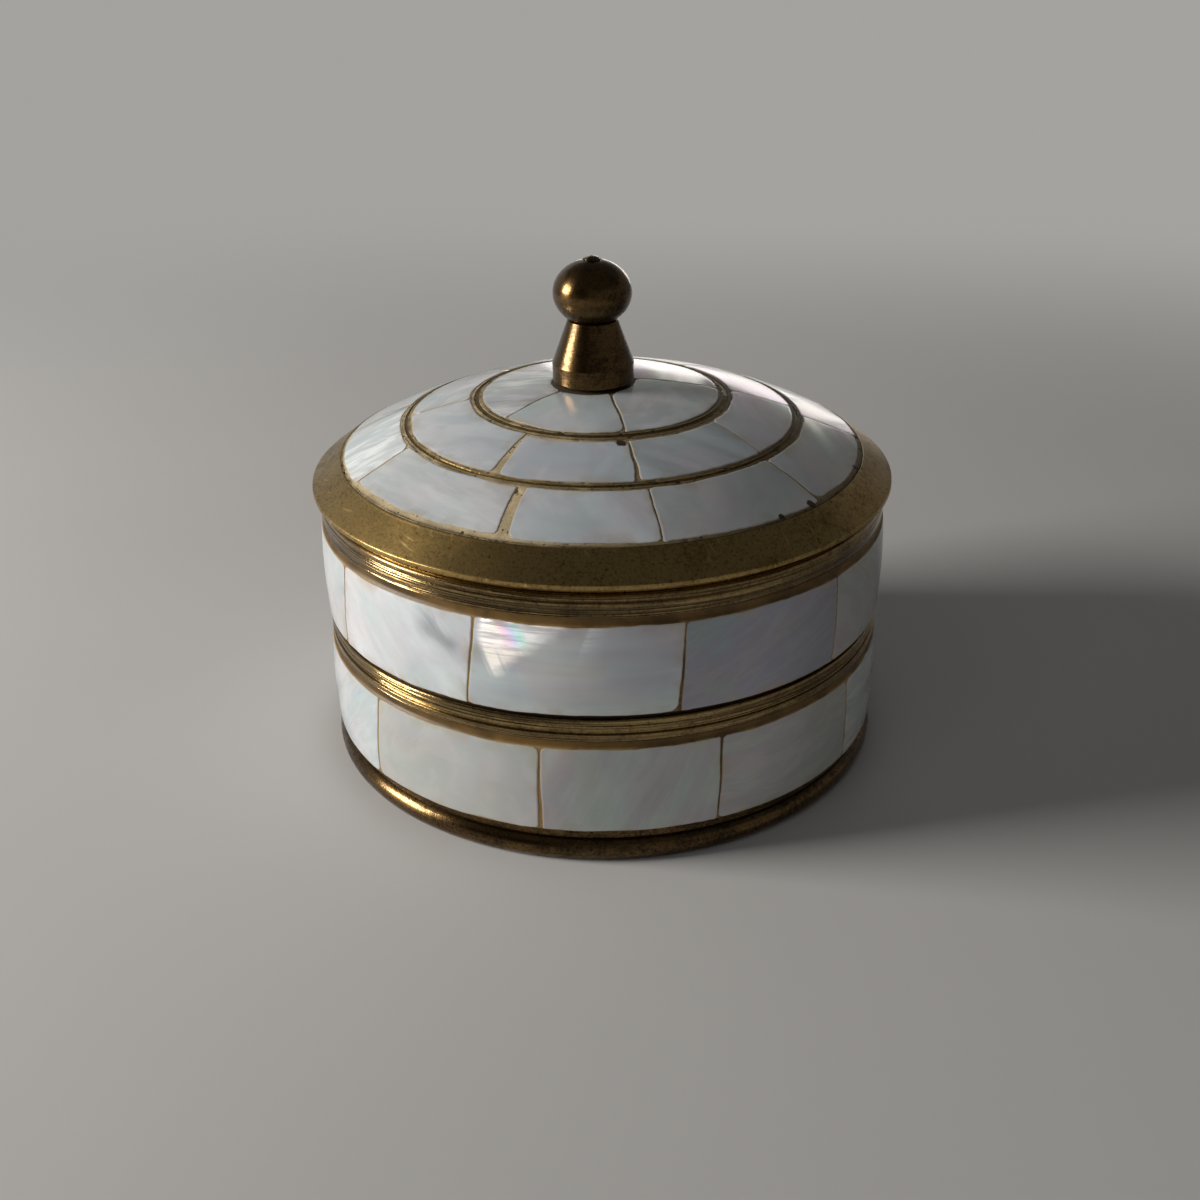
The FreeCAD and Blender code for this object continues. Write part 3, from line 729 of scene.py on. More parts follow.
def old_holes(place):
    """Where the lid's old holes are, their outlines uneven."""
    x, y, height = parts(place)
    uneven = noise(place, 1.3, 2.0, 4.0) * 0.9
    found = 0.0
    for across, along, size in LID_HOLES:
        far = ((x - across) * (x - across) + (y - along) * (y - along)).math("SQRT") / size
        found = (1.0 - (far + uneven).smooth(1.1, 1.45)).most(found)
    return found * height.smooth(40.0, 41.0)


def row_strip(height):
    """Where a height lies in the strips over the side rows, and where in the gap under the upper row, which
    is painted near black as shade.
    """
    above_band = height.smooth(BAND_LOW, BAND_HIGH)
    upper = height.smooth(UPPER_TILE_HIGH - 0.1, UPPER_TILE_HIGH + 0.25)
    lower = height.smooth(LOWER_TILE_HIGH - 0.1, LOWER_TILE_HIGH + 0.25) * (1.0 - above_band)
    gap = (1.0 - height.smooth(UPPER_TILE_LOW - 0.15, UPPER_TILE_LOW + 0.1)) * above_band
    return upper + lower, gap


def amber_finish(finish):
    """Amber cement: brown in the strips, darkened at the far left as painted shade; tan with stains in the
    joints, darker towards the right as painted shade; painted near black as shade in the gap.
    """
    material, tree, shader, place = new_material("amber_cement")
    _, height, side, _ = round_axis(place)
    strip, gap = row_strip(height)
    cloud = noise(place, 0.3, 3.0, 0.0)
    grain = noise(place, 4.0, 3.0, 1.0)
    # Joints carry stains in clouds and darken towards the right, away from the window lamp: real stains and
    # painted shade
    stain_and_right_shade = cloud.smooth(0.4, 0.62) * side.smooth(-0.65, 0.15).between(0.25, 0.9)
    joint = blend(stain_and_right_shade, finish.joint, times(finish.joint, 0.22))
    amber = blend(cloud.smooth(0.35, 0.7) * 0.8, finish.amber, times(finish.amber, 0.4))
    # Painted shade: the strips are darkened at the far left, on the side the window lamp lights
    amber = scaled(amber, side.smooth(-1.0, -0.3).between(0.6, 1.0))
    colour = layered(
        joint,
        (strip, amber),
        (grain.smooth(0.5, 0.8) * 0.35, (0.10, 0.05, 0.015)),
        # Painted shade: near black in the gap under the upper row
        (gap, (0.03, 0.018, 0.01)),
    )
    fill(tree, shader, {
        "Base Color": colour, "Roughness": grain.between(0.3, 0.5), "Specular IOR Level": 0.25,
        "Normal": relief(grain, 0.03 * MM, 0.5),
    })
    return material


def sand_finish(finish):
    """Sandy cement of the lid: clouded and speckled, dirty along the brass; painted shade darkens its right
    half, its cracks along the brass and a ring round the knob.
    """
    material, tree, shader, place = new_material("sandy_cement")
    radius, _, side, _ = round_axis(place)
    cloud = noise(place, 0.35, 4.0, 0.0, roughness=0.6)
    grain = noise(place, 3.0, 3.0, 1.0)
    specks = noise(place, 1.9, 2.0, 3.0)
    near = RIM_INNER - radius
    for low, high in ((OUTER_STRIP_LOW, OUTER_STRIP_HIGH), (INNER_STRIP_LOW, INNER_STRIP_HIGH)):
        near = near.least((radius - (low + high) / 2).math("ABSOLUTE") - (high - low) / 2)
    # Cement soiled in clouds along the brass, more so towards the right: soiling and painted shade
    dirt_and_shade = (1.0 - near.smooth(0.1, 0.6)) * (cloud * 2.4 - 0.15 + side * 0.4).least(1.0)
    # Painted shade: dark broken lines along the edges of the brass, where shade falls in the gap beside it
    crack_shade = 1.0 - (near - 0.14 + (specks - 0.5) * 0.5).math("ABSOLUTE").smooth(0.02, 0.08)
    crack_shade = crack_shade * noise(place, 0.2, 2.0, 8.0).smooth(0.42, 0.52)
    # Painted shadow: a dark ring round the knob's base, where it meets the cement, joins the old holes
    from_knob, _, _, _ = round_axis(place, KNOB_AXIS)
    holes = old_holes(place).most(1.0 - from_knob.smooth(TILE_HOLE - 0.1, TILE_HOLE + 0.5))
    dark = specks.smooth(0.63, 0.69).most(crack_shade).most(holes)
    colour = layered(
        finish.sand,
        (cloud.smooth(0.35, 0.7), times(finish.sand, 0.62)),
        (grain.smooth(0.45, 0.75) * 0.5, times(finish.sand, 0.5)),
        # Painted shade: the right half of the cement, away from the window lamp, is darkened
        (side.smooth(-0.3, 0.3) * 0.75, (0.17, 0.12, 0.06)),
        (dirt_and_shade.most(0.0) * 0.85, (0.15, 0.105, 0.045)),
        # Near black: dark specks and old holes, and painted shade in the cracks along the brass and in the
        # ring round the knob
        (dark * 0.92, (0.03, 0.018, 0.008)),
    )
    fill(tree, shader, {
        "Base Color": colour, "Roughness": grain.between(0.4, 0.8),
        "Normal": relief(grain * 0.6 - dark * 0.6, 0.06 * MM, 0.6),
    })
    return material


def floor_finish(finish):
    """A plain matt floor, painted darker to the left under the window lamp as painted shade, that passes
    into an evenly pale backdrop away from the object.
    """
    material, tree, shader, place = new_material("plain_floor")
    clouded = blend(noise(place, 0.02, 2.0), finish.floor, times(finish.floor, 0.95))
    right, back, _ = parts(place)
    # Painted shade: the floor is darkened to the left, under the window lamp
    shade_under_lamp = (0.0 - right).smooth(220.0, 420.0)
    fill(tree, shader, {
        "Base Color": scaled(clouded, shade_under_lamp.between(1.0, 0.3)), "Roughness": 0.85,
        "Specular IOR Level": 0.2,
    })
    path = tree.nodes.new("ShaderNodeLightPath")
    camera_ray, glossy_ray, clear_ray = (
        Field(tree, path.outputs[f"Is {kind} Ray"]) for kind in ("Camera", "Glossy", "Transmission"))
    behind = back.smooth(80.0, 600.0)
    away = (right * right + back * back).math("SQRT").smooth(140.0, 400.0).most(behind)
    mirrored = (glossy_ray * (1.0 - right.smooth(40.0, 220.0)) + clear_ray).least(1.0) * behind
    mixed = result(tree, "ShaderNodeMixShader", {
        "Fac": (camera_ray * away).most(mirrored),
        1: Field(tree, shader.outputs[0]),
        2: result(tree, "ShaderNodeEmission", {"Color": (*finish.backdrop, 1.0)}),
    })
    output = next(node for node in tree.nodes if node.type == "OUTPUT_MATERIAL")
    fill(tree, output, {"Surface": mixed})
    return material


@cache
def finishes():
    """The box's materials, made once from the settings."""
    finish = bpy.context.scene.pearl_finish
    brass = (finish.brass, finish.tarnish)
    return {
        # Painted shade: the lip and band brass is a darker copy of the brass
        "lip": turned_brass(
            "band_brass", times(finish.brass, 0.85), finish.tarnish, 0.62, lines=1.8, gloss=(0.15, 0.34),
            grained=0.8, coat=0.6),
        "rim": turned_brass(
            "rim_brass", *brass, 0.5, lines=0.2, gloss=(0.3, 0.48), grained=0.35, scratched=0.7),
        "inside": turned_brass("inside_brass", *brass, 0.55, lines=0.9),
        "foot": turned_brass(
            "foot_brass", finish.dark_brass, finish.dark_tarnish, 0.62, gloss=(0.18, 0.4), coat=0.25),
        # Painted shade: the knob's brass is a darker copy of the dark brass
        "knob": turned_brass(
            "knob_brass", times(finish.dark_brass, 0.8), finish.dark_tarnish, 0.55, axis=KNOB_AXIS,
            lines=0.4, gloss=(0.22, 0.42), grained=0.5, mottled=0.9, coat=0.2),
        "strip": turned_brass(
            "strip_brass", finish.strip_brass, finish.strip_tarnish, 0.5, lines=0.2, gloss=(0.5, 0.7),
            grained=0.2, mottled=1.4),
        "nacre": nacre_finish(finish),
        "amber": amber_finish(finish),
        "sand": sand_finish(finish),
    }


# Shapes

def spaced(first, last, steps):
    """Even steps from the first number to the last."""
    return [first + (last - first) * step / steps for step in range(steps + 1)]


def rough_corner(radius, height, rounding=0.0):
    """A corner of an outline with a rough run after it."""
    return (radius, height, rounding, 0.0, 1.0)


def dome_run(first, last, sphere, steps):
    """Corners along a sphere of the lid between two distances from the axis."""
    return [(radius, dome_height(radius, sphere)) for radius in spaced(first, last, steps)]


def rough_dome(first, last, sphere, steps):
    """The same with rough runs."""
    return [rough_corner(*corner) for corner in dome_run(first, last, sphere, steps)]


def barrel_face(low, high):
    """Corners of a cement face that follows the tiles' barrel between two heights, just below it."""
    middle = (low + high) / 2
    corners = []
    for height in spaced(low, high, 14):
        swell = TILE_CROWN * (1 - ((height - middle) / (high - middle)) ** 2)
        corners.append(rough_corner(TILE_EDGE + swell - FACE_RECESS, height))
    return corners


def plain_piece(name, source, tree, values):
    """Run a tree on a mesh and give its result as a plain, smooth-shaded piece."""
    holder = bpy.data.objects.new(name + "_plan", source)
    bpy.context.scene.collection.objects.link(holder)
    modifier = holder.modifiers.new("Build", "NODES")
    modifier.node_group = tree
    for item in tree.interface.items_tree:
        if item.in_out == "INPUT" and keyword(item.name) in values:
            modifier[item.identifier] = values[keyword(item.name)]
    evaluated = holder.evaluated_get(bpy.context.evaluated_depsgraph_get())
    mesh = bpy.data.meshes.new_from_object(evaluated)
    mesh.name = name
    bpy.data.objects.remove(holder)
    if not mesh.polygons:
        raise RuntimeError(name + " came out empty")
    outward_faces(mesh)
    mesh.shade_smooth()
    mesh.set_sharp_from_angle(angle=math.radians(38))
    piece = bpy.data.objects.new(name, mesh)
    bpy.context.scene.collection.objects.link(piece)
    return piece


def outward_faces(mesh):
    """Turn every face of a closed mesh outwards."""
    shape = bmesh.new()
    shape.from_mesh(mesh)
    bmesh.ops.recalc_face_normals(shape, faces=shape.faces)
    shape.to_mesh(mesh)
    shape.free()


def fillet(before, corner, after, radius, steps=4):
    """Points that round a corner of an outline."""
    corner = Vector(corner)
    back = Vector(before) - corner
    on = Vector(after) - corner
    bend = back.angle(on)
    reach = min(radius / math.tan(bend / 2), back.length * 0.45, on.length * 0.45)
    radius = reach * math.tan(bend / 2)
    centre = corner + (back.normalized() + on.normalized()).normalized() * (radius / math.sin(bend / 2))
    first = corner + back.normalized() * reach - centre
    last = corner + on.normalized() * reach - centre
    whole = first.angle(last)
    weight = math.sin(whole)
    points = []
    for share in spaced(0, 1, steps):
        arm = first * (math.sin((1 - share) * whole) / weight) + last * (math.sin(share * whole) / weight)
        points.append(tuple(centre + arm))
    return points


def outline_mesh(name, corners, closed):
    """The half section of a turned piece as a line of points.

    Each corner is (radius, height, rounding, mark depth, roughness) in millimetres, and what it leaves
    out is nought; the last two hold for the run after it. The points carry the way out of the solid, the
    marks, the roughness and the run.
    """
    corners = [(*corner, 0.0, 0.0, 0.0)[:5] for corner in corners]
    count = len(corners)
    points = []
    for i, (radius, height, rounding, mark, rough) in enumerate(corners):
        here = (radius, height)
        following = corners[(i + 1) % count]
        after = following[:2]
        inner = closed or 0 < i < count - 1
        bend = fillet(corners[i - 1][:2], here, after, rounding) if rounding and inner else [here]
        points += [(*point, 0.0, rough) for point in bend[:-1]]
        if not closed and i == count - 1:
            points.append((*bend[-1], 0.0, rough))
            break
        stop = after
        if following[2] and (closed or i + 1 < count - 1):
            stop = fillet(here, after, corners[(i + 2) % count][:2], following[2])[0]
        spacing = MARK_STEP if mark else (ROUGH_STEP if rough else PLAIN_STEP)
        pieces = max(1, round(math.dist(bend[-1], stop) / spacing))
        for step in range(pieces):
            share = step / pieces
            spot = [a + (b - a) * share for a, b in zip(bend[-1], stop)]
            points.append((*spot, mark if step else 0.0, rough))
    if closed:
        points.append(points[0])
    mesh = bpy.data.meshes.new(name + "_outline")
    mesh.from_pydata([(r * MM, 0.0, z * MM) for r, z, _, _ in points], [], [])
    outward = mesh.attributes.new("outward", "FLOAT_VECTOR", "POINT")
    surface = mesh.attributes.new("surface", "FLOAT_VECTOR", "POINT")
    run = 0.0
    spots = [point[:2] for point in points]
    befores = [spots[-2] if closed else spots[0], *spots]
    afters = [*spots[1:], spots[1] if closed else spots[-1]]
    for i, (spot, before, after) in enumerate(zip(spots, befores, afters)):
        way = Vector((after[1] - before[1], before[0] - after[0]))
        way = way.normalized() if way.length else Vector((1.0, 0.0))
        outward.data[i].vector = (way.x, 0.0, way.y)
        if i:
            run += math.dist(before, spot) * MM
        _, _, mark, rough = points[i]
        surface.data[i].vector = (mark * MM, rough, run)
    return mesh


def turned_piece(name, corners, material, closed=True, axis=0.0, **values):
    """A piece turned from its half section."""
    turning = bpy.context.scene.pearl_turning
    inputs = {
        "around": turning.around, "axis": (axis * MM, 0.0, 0.0), "mark_pitch": turning.mark_pitch,
        "grain": 0.0, "grain_size": 0.6 * MM, "pits": 0.0, "warp": 0.0, "warp_size": 9.0 * MM,
        "material": finishes()[material], **values,
    }
    return plain_piece(name, outline_mesh(name, corners, closed), turned_tree(), inputs)


def fit(piece, body, slot, *nodes):
    """Set a finished piece on its body, in place of the nodes that it stands for."""
    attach(piece, body)
    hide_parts(*nodes)


def tool_sizes(context):
    """Edge rounding, strong marks and faint marks of turned brass, in millimetres."""
    turning = context.scene.pearl_turning
    return [size / MM for size in (turning.edge_round, turning.lip_marks, turning.faint_marks)]


class PieceOperator:
    """What the operators share."""

    bl_options = {"REGISTER", "UNDO"}


class PEARLBOX_OT_cup(PieceOperator, bpy.types.Operator):
    """Turn the cup with its lip"""

    bl_idname = "pearlbox.cup"
    bl_label = "Cup"

    def execute(self, context):
        edge, strong, faint = tool_sizes(context)
        line = SEAT - LIP_LINE
        corners = [
            (0.0, CUP_LOW),
            (CUP_OUTER, CUP_LOW),
            (CUP_OUTER, LIP_LOW),
            (BAND_RADIUS, LIP_LOW, edge, strong),
            (BAND_RADIUS, line - LIP_LINE_HALF),
            (BAND_RADIUS - LIP_LINE_DEPTH, line),
            (BAND_RADIUS, line + LIP_LINE_HALF, 0.0, strong),
            (BAND_RADIUS, SEAT, LIP_EDGE, faint),
            (CUP_INNER, SEAT, edge * 1.5),
            (CUP_INNER, FLOOR_TOP, FLOOR_CORNER),
            (0.0, FLOOR_TOP),
        ]
        fit(turned_piece("cup", corners, "lip", closed=False, seed=2.0), "box", "brass", "body_cup")
        return {"FINISHED"}


class PEARLBOX_OT_bands(PieceOperator, bpy.types.Operator):
    """Turn the middle band and the foot"""

    bl_idname = "pearlbox.bands"
    bl_label = "Middle band and foot"

    def execute(self, context):
        edge, strong, faint = tool_sizes(context)
        band = [
            (CUP_OUTER, BAND_LOW),
            (BAND_RADIUS, BAND_LOW, BAND_EDGE, strong * 0.7),
            (BAND_RADIUS, BAND_LOW + GROOVE_LOW, edge),
            (BAND_RADIUS - GROOVE_DEPTH, BAND_LOW + GROOVE_LOW, edge, faint),
            (BAND_RADIUS - GROOVE_DEPTH, BAND_LOW + GROOVE_HIGH, edge),
            (BAND_RADIUS, BAND_LOW + GROOVE_HIGH, edge, strong),
            (BAND_RADIUS, BAND_HIGH, BAND_EDGE),
            (CUP_OUTER, BAND_HIGH),
        ]
        fit(turned_piece("middle_band_turned", band, "lip", seed=4.0), "box", "brass", "middle_band")
        bead_across, bead_up = BEAD_CENTRE
        top = math.sqrt(BEAD_RADIUS ** 2 - (FOOT_GROOVE - bead_across) ** 2)
        flat = math.asin(-bead_up / BEAD_RADIUS)
        over = math.asin(top / BEAD_RADIUS)
        foot = [(FOOT_INNER, 0.0)]
        for turn in spaced(flat, over, 22):
            foot.append((bead_across + BEAD_RADIUS * math.cos(turn), bead_up + BEAD_RADIUS * math.sin(turn)))
        foot += [
            (FOOT_GROOVE, FOOT_HIGH - FOOT_STEP, edge),
            (STEP_RADIUS, FOOT_HIGH - FOOT_STEP, edge, faint),
            (STEP_RADIUS, FOOT_HIGH, edge),
            (CUP_OUTER, FOOT_HIGH),
            (CUP_OUTER, CUP_LOW),
            (FOOT_INNER, CUP_LOW),
        ]
        fit(turned_piece("foot_bead", foot, "foot", seed=5.0), "box", "dark_brass", "foot_ring")
        return {"FINISHED"}


class PEARLBOX_OT_lid(PieceOperator, bpy.types.Operator):
    """Turn the lid's dome with its sloping rim, and finish the ring and washer under it"""

    bl_idname = "pearlbox.lid"
    bl_label = "Lid"

    def execute(self, context):
        edge, _, _ = tool_sizes(context)
        dome_under = DOME_TOP - DOME_WALL
        corners = [
            (0.0, WASHER_HIGH.z),
            (PAD_RADIUS, WASHER_HIGH.z),
            *dome_run(PAD_RADIUS + 0.4, LOCATING_INNER - 0.1, dome_under, 40),
            (LOCATING_INNER, dome_height(LOCATING_INNER, dome_under)),
            (LOCATING_INNER, SEAT, edge),
            (UNDERCUT_RADIUS, SEAT, edge),
            (UNDERCUT_RADIUS, RIM_LOW),
            (LID_RADIUS, RIM_LOW, edge),
            rough_corner(LID_RADIUS, RIM_LOW + RIM_EDGE, edge * 1.6),
            (RIM_INNER, dome_height(RIM_INNER), edge * 1.2),
            *dome_run(RIM_INNER, PAD_RADIUS, DOME_TOP, 12),
            (PAD_RADIUS, PAD_TOP),
            (0.0, PAD_TOP),
        ]
        piece = turned_piece(
            "lid_dome_turned", corners, "rim", closed=False, seed=6.0, grain=0.012 * MM,
            grain_size=0.7 * MM, warp=0.05 * MM)
        fit(piece, "lid", "brass", "lid_dome")
        for node in ("lid_locating_ring", "rivet_washer"):
            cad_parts[node].data.materials.clear()
            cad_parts[node].data.materials.append(finishes()["inside"])
        return {"FINISHED"}


class PEARLBOX_OT_dividers(PieceOperator, bpy.types.Operator):
    """Set the two worn brass strips between the rings of tiles"""

    bl_idname = "pearlbox.dividers"
    bl_label = "Dividers"

    def execute(self, context):
        strips = {
            "outer": (OUTER_STRIP_LOW, OUTER_STRIP_HIGH),
            "inner": (INNER_STRIP_LOW, INNER_STRIP_HIGH),
        }
        for seed, (ring, (low, high)) in enumerate(strips.items(), start=11):
            corners = [
                (low, dome_height(low, DOME_TOP)),
                rough_corner(high, dome_height(high, DOME_TOP)),
                *rough_dome(high, low, DOME_RADIUS, 4),
            ]
            piece = turned_piece(
                ring + "_strip", corners, "strip", seed=float(seed), around=420, grain=0.2 * MM,
                grain_size=1.3 * MM, warp=0.2 * MM, warp_size=4.0 * MM)
            fit(piece, "lid", "dark_brass", ring + "_divider")
        return {"FINISHED"}


class PEARLBOX_OT_cement(PieceOperator, bpy.types.Operator):
    """Bed the rows and rings in cement"""

    bl_idname = "pearlbox.cement"
    bl_label = "Cement"

    def execute(self, context):
        rows = {
            "lower": [
                (CUP_OUTER, FOOT_HIGH),
                *barrel_face(LOWER_TILE_LOW, LOWER_TILE_HIGH),
                rough_corner(CEMENT_FACE, LOWER_TILE_HIGH + STRIP_START),
                (CEMENT_FACE, BAND_LOW),
                (CUP_OUTER, BAND_LOW),
            ],
            "upper": [
                (CUP_OUTER, BAND_HIGH),
                rough_corner(GAP_FACE, BAND_HIGH),
                (GAP_FACE, UPPER_TILE_LOW),
                *barrel_face(UPPER_TILE_LOW, UPPER_TILE_HIGH),
                rough_corner(CEMENT_FACE, UPPER_TILE_HIGH + STRIP_START),
                (CEMENT_FACE, LIP_LOW),
                (CUP_OUTER, LIP_LOW),
            ],
        }
        for seed, (row, corners) in enumerate(rows.items(), start=21):
            piece = turned_piece(
                row + "_bed", corners, "amber", seed=float(seed), around=480, grain=0.02 * MM,
                grain_size=0.9 * MM)
            fit(piece, "box", "amber_cement", row + "_cement")
        rings = {
            "outer": (OUTER_STRIP_HIGH - BED_UNDERLAP, RIM_INNER),
            "middle": (INNER_STRIP_HIGH - BED_OVERLAP, OUTER_STRIP_LOW + BED_UNDERLAP),
            "inner": (PAD_RADIUS - BED_UNDER_KNOB, INNER_STRIP_LOW + BED_OVERLAP),
        }
        tiles = context.scene.pearl_tiles
        face = DOME_RADIUS - tiles.cement_recess / MM + tiles.cement_grain / MM * 0.5
        for seed, (ring, (low, high)) in enumerate(rings.items(), start=31):
            corners = dome_run(low, high, DOME_TOP, 4) + rough_dome(high, low, face, 8)
            piece = turned_piece(
                ring + "_bed", corners, "sand", seed=float(seed), around=600, grain=tiles.cement_grain,
                grain_size=0.7 * MM, pits=0.3 * MM)
            fit(piece, "lid", "sandy_cement", ring + "_cement")
        return {"FINISHED"}


def ends_of(node, on_lid, hole):
    """Where a tile starts and ends: its angles at its low and high edge, and the heights of those edges."""
    points = []
    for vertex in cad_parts[node].data.vertices:
        spot = vertex.co / MM
        turn = math.atan2(spot.x, -spot.y)
        level = math.hypot(spot.x, spot.y) if on_lid else spot.z
        points.append((turn, level, math.hypot(spot.x - KNOB_AXIS, spot.y)))
    middle = math.atan2(
        sum(math.sin(turn) for turn, _, _ in points), sum(math.cos(turn) for turn, _, _ in points))
    lowest = min(level for _, level, _ in points)
    highest = max(level for _, level, _ in points)
    close = 0.02

    def span(chosen):
        turns = [(turn - middle + math.pi) % math.tau - math.pi for turn in chosen]
        return middle + min(turns), middle + max(turns)

    high = span([turn for turn, level, _ in points if level > highest - close])
    if hole:
        low = span([turn for turn, _, away in points if away < hole + close])
        lowest = 0.0
    else:
        low = span([turn for turn, level, _ in points if level < lowest + close])
    return low, high, lowest, highest


# Tones of the tiles that stand out: warmth, lilac, flash (below nought a smoky streak), silvery ripples and
# lightness (below nought dimmer); the flash and the ripples are painted highlights, and the lightness is
# painted light on tiles facing the window lamp and painted shade on those away from it
TILE_TONES = {
    "upper_tile_10": (0.05, 0.15, 1.0, 0.0, -0.06),
    "upper_tile_09": (0.00, 0.10, -0.8, 0.12, 0.25),
    "upper_tile_01": (0.00, 0.80, 0.0, 0.1, -0.3),
    "upper_tile_02": (0.40, 0.10, 0.0, 0.15, -0.25),
    "lower_tile_09": (0.55, 0.00, 0.0, 0.1, -0.22),
    "lower_tile_10": (0.45, 0.05, 0.0, 0.1, -0.24),
    "lower_tile_01": (0.50, 0.00, 0.0, 0.15, -0.26),
    "outer_tile_07": (0.00, 0.00, 0.0, 0.9, 0.4),
    "outer_tile_08": (0.20, 0.10, 0.0, 0.2, 0.3),
    "outer_tile_09": (0.10, 0.20, 0.0, 0.1, 0.0),
    "outer_tile_01": (0.35, 0.10, 0.0, 0.1, 0.0),
    "outer_tile_02": (0.30, 0.15, 0.0, 0.0, 0.0),
    "middle_tile_07": (0.00, 0.30, 0.0, 0.2, 0.25),
    "middle_tile_08": (0.00, 0.35, 0.0, 0.1, 0.0),
    "middle_tile_01": (0.10, 0.30, 0.0, 0.1, 0.0),
    "inner_tile_04": (0.00, 0.05, 0.0, 0.8, 0.35),
    "inner_tile_05": (0.10, 0.15, 0.0, 0.1, -0.12),
}

# Tiles cut short on the lid, where more cement shows: at the edge nearer the knob and at the outer edge
CUT_SHORT = {
    "middle_tile_08": (0.35, 0.0),
    "middle_tile_01": (0.3, 0.0),
    "outer_tile_07": (0.15, 0.1),
    "outer_tile_08": (0.1, 0.45),
    "outer_tile_09": (0.1, 0.2),
    "outer_tile_02": (0.2, 0.3),
}


def by_tile(seed, rate):
    """A number from 0 to 1 that differs from tile to tile."""
    return math.sin(seed * rate) ** 2


def tile_piece(node, seed, on_lid, hole=0.0):
    """One nacre tile in place of its node."""
    tiles = bpy.context.scene.pearl_tiles
    low, high, lowest, highest = ends_of(node, on_lid, hole)
    spread = tiles.spread / MM * SPREAD[on_lid]
    more_low = spread / (max(lowest, TILE_HOLE) if on_lid else TILE_EDGE)
    more_high = spread / (highest if on_lid else TILE_EDGE)
    more_level = LID_TILE_REACH * MM if on_lid else 0.0
    plain = (0.3 * by_tile(seed, 2.3), 0.3 * by_tile(seed, 3.7), 0.0, 0.3 * by_tile(seed, 5.1), 0.0)
    warmth, lilac, flash, painted_sheen, light = TILE_TONES.get(node, plain)
    short_low, short_high = CUT_SHORT.get(node, (0.0, 0.0))
    values = {
        "start_low": low[0] - more_low, "start_high": high[0] - more_high,
        "end_low": low[1] + more_low, "end_high": high[1] + more_high,
        "low": (lowest + short_low) * MM - more_level, "high": (highest - short_high) * MM + more_level,
        "on_lid": float(on_lid), "edge_radius": TILE_EDGE * MM, "crown": TILE_CROWN * MM,
        "dome_radius": DOME_RADIUS * MM, "dome_centre": DOME_CENTRE * MM,
        "hole_radius": TILE_HOLE * MM if hole else 0.0, "hole_offset": KNOB_AXIS * MM if hole else 0.0,
        "thickness": (LID_TILE if on_lid else TILE_EDGE - TILE_BACK) * MM,
        "edge_round": tiles.edge_round, "unevenness": tiles.unevenness,
        "edge_wear": tiles.edge_wear * WEAR[on_lid],
        "corner_round": tiles.corner_round * (0.6 + 0.9 * by_tile(seed, 4.3)),
        "tone": (seed, warmth, lilac), "glow": (flash, painted_sheen, light), "material": finishes()["nacre"],
    }
    values["across"], values["along"] = TILE_GRID
    blank = bpy.data.meshes.new(node + "_blank")
    piece = plain_piece(node + "_cut", blank, tile_tree(), values)
    fit(piece, "lid" if on_lid else "box", "nacre", node)


def tile_nodes(row):
    """The names of the tiles of a row or ring."""
    return sorted(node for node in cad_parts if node.startswith(row + "_tile_"))


class PEARLBOX_OT_side_tiles(PieceOperator, bpy.types.Operator):
    """Cut the two rows of tiles round the side"""

    bl_idname = "pearlbox.side_tiles"
    bl_label = "Side tiles"

    def execute(self, context):
        for row in SIDE_ROWS:
            for number, node in enumerate(tile_nodes(row)):
                tile_piece(node, number * 0.37 + 3.1 * (row == "lower"), False)
        return {"FINISHED"}


class PEARLBOX_OT_lid_tiles(PieceOperator, bpy.types.Operator):
    """Cut the three rings of tiles on the lid"""

    bl_idname = "pearlbox.lid_tiles"
    bl_label = "Lid tiles"

    def execute(self, context):
        for ring_number, ring in enumerate(LID_RINGS):
            hole = KNOB_HOLE if ring == "inner" else 0.0
            for number, node in enumerate(tile_nodes(ring)):
                tile_piece(node, number * 0.41 + 7.3 + ring_number * 2.7, True, hole)
        return {"FINISHED"}


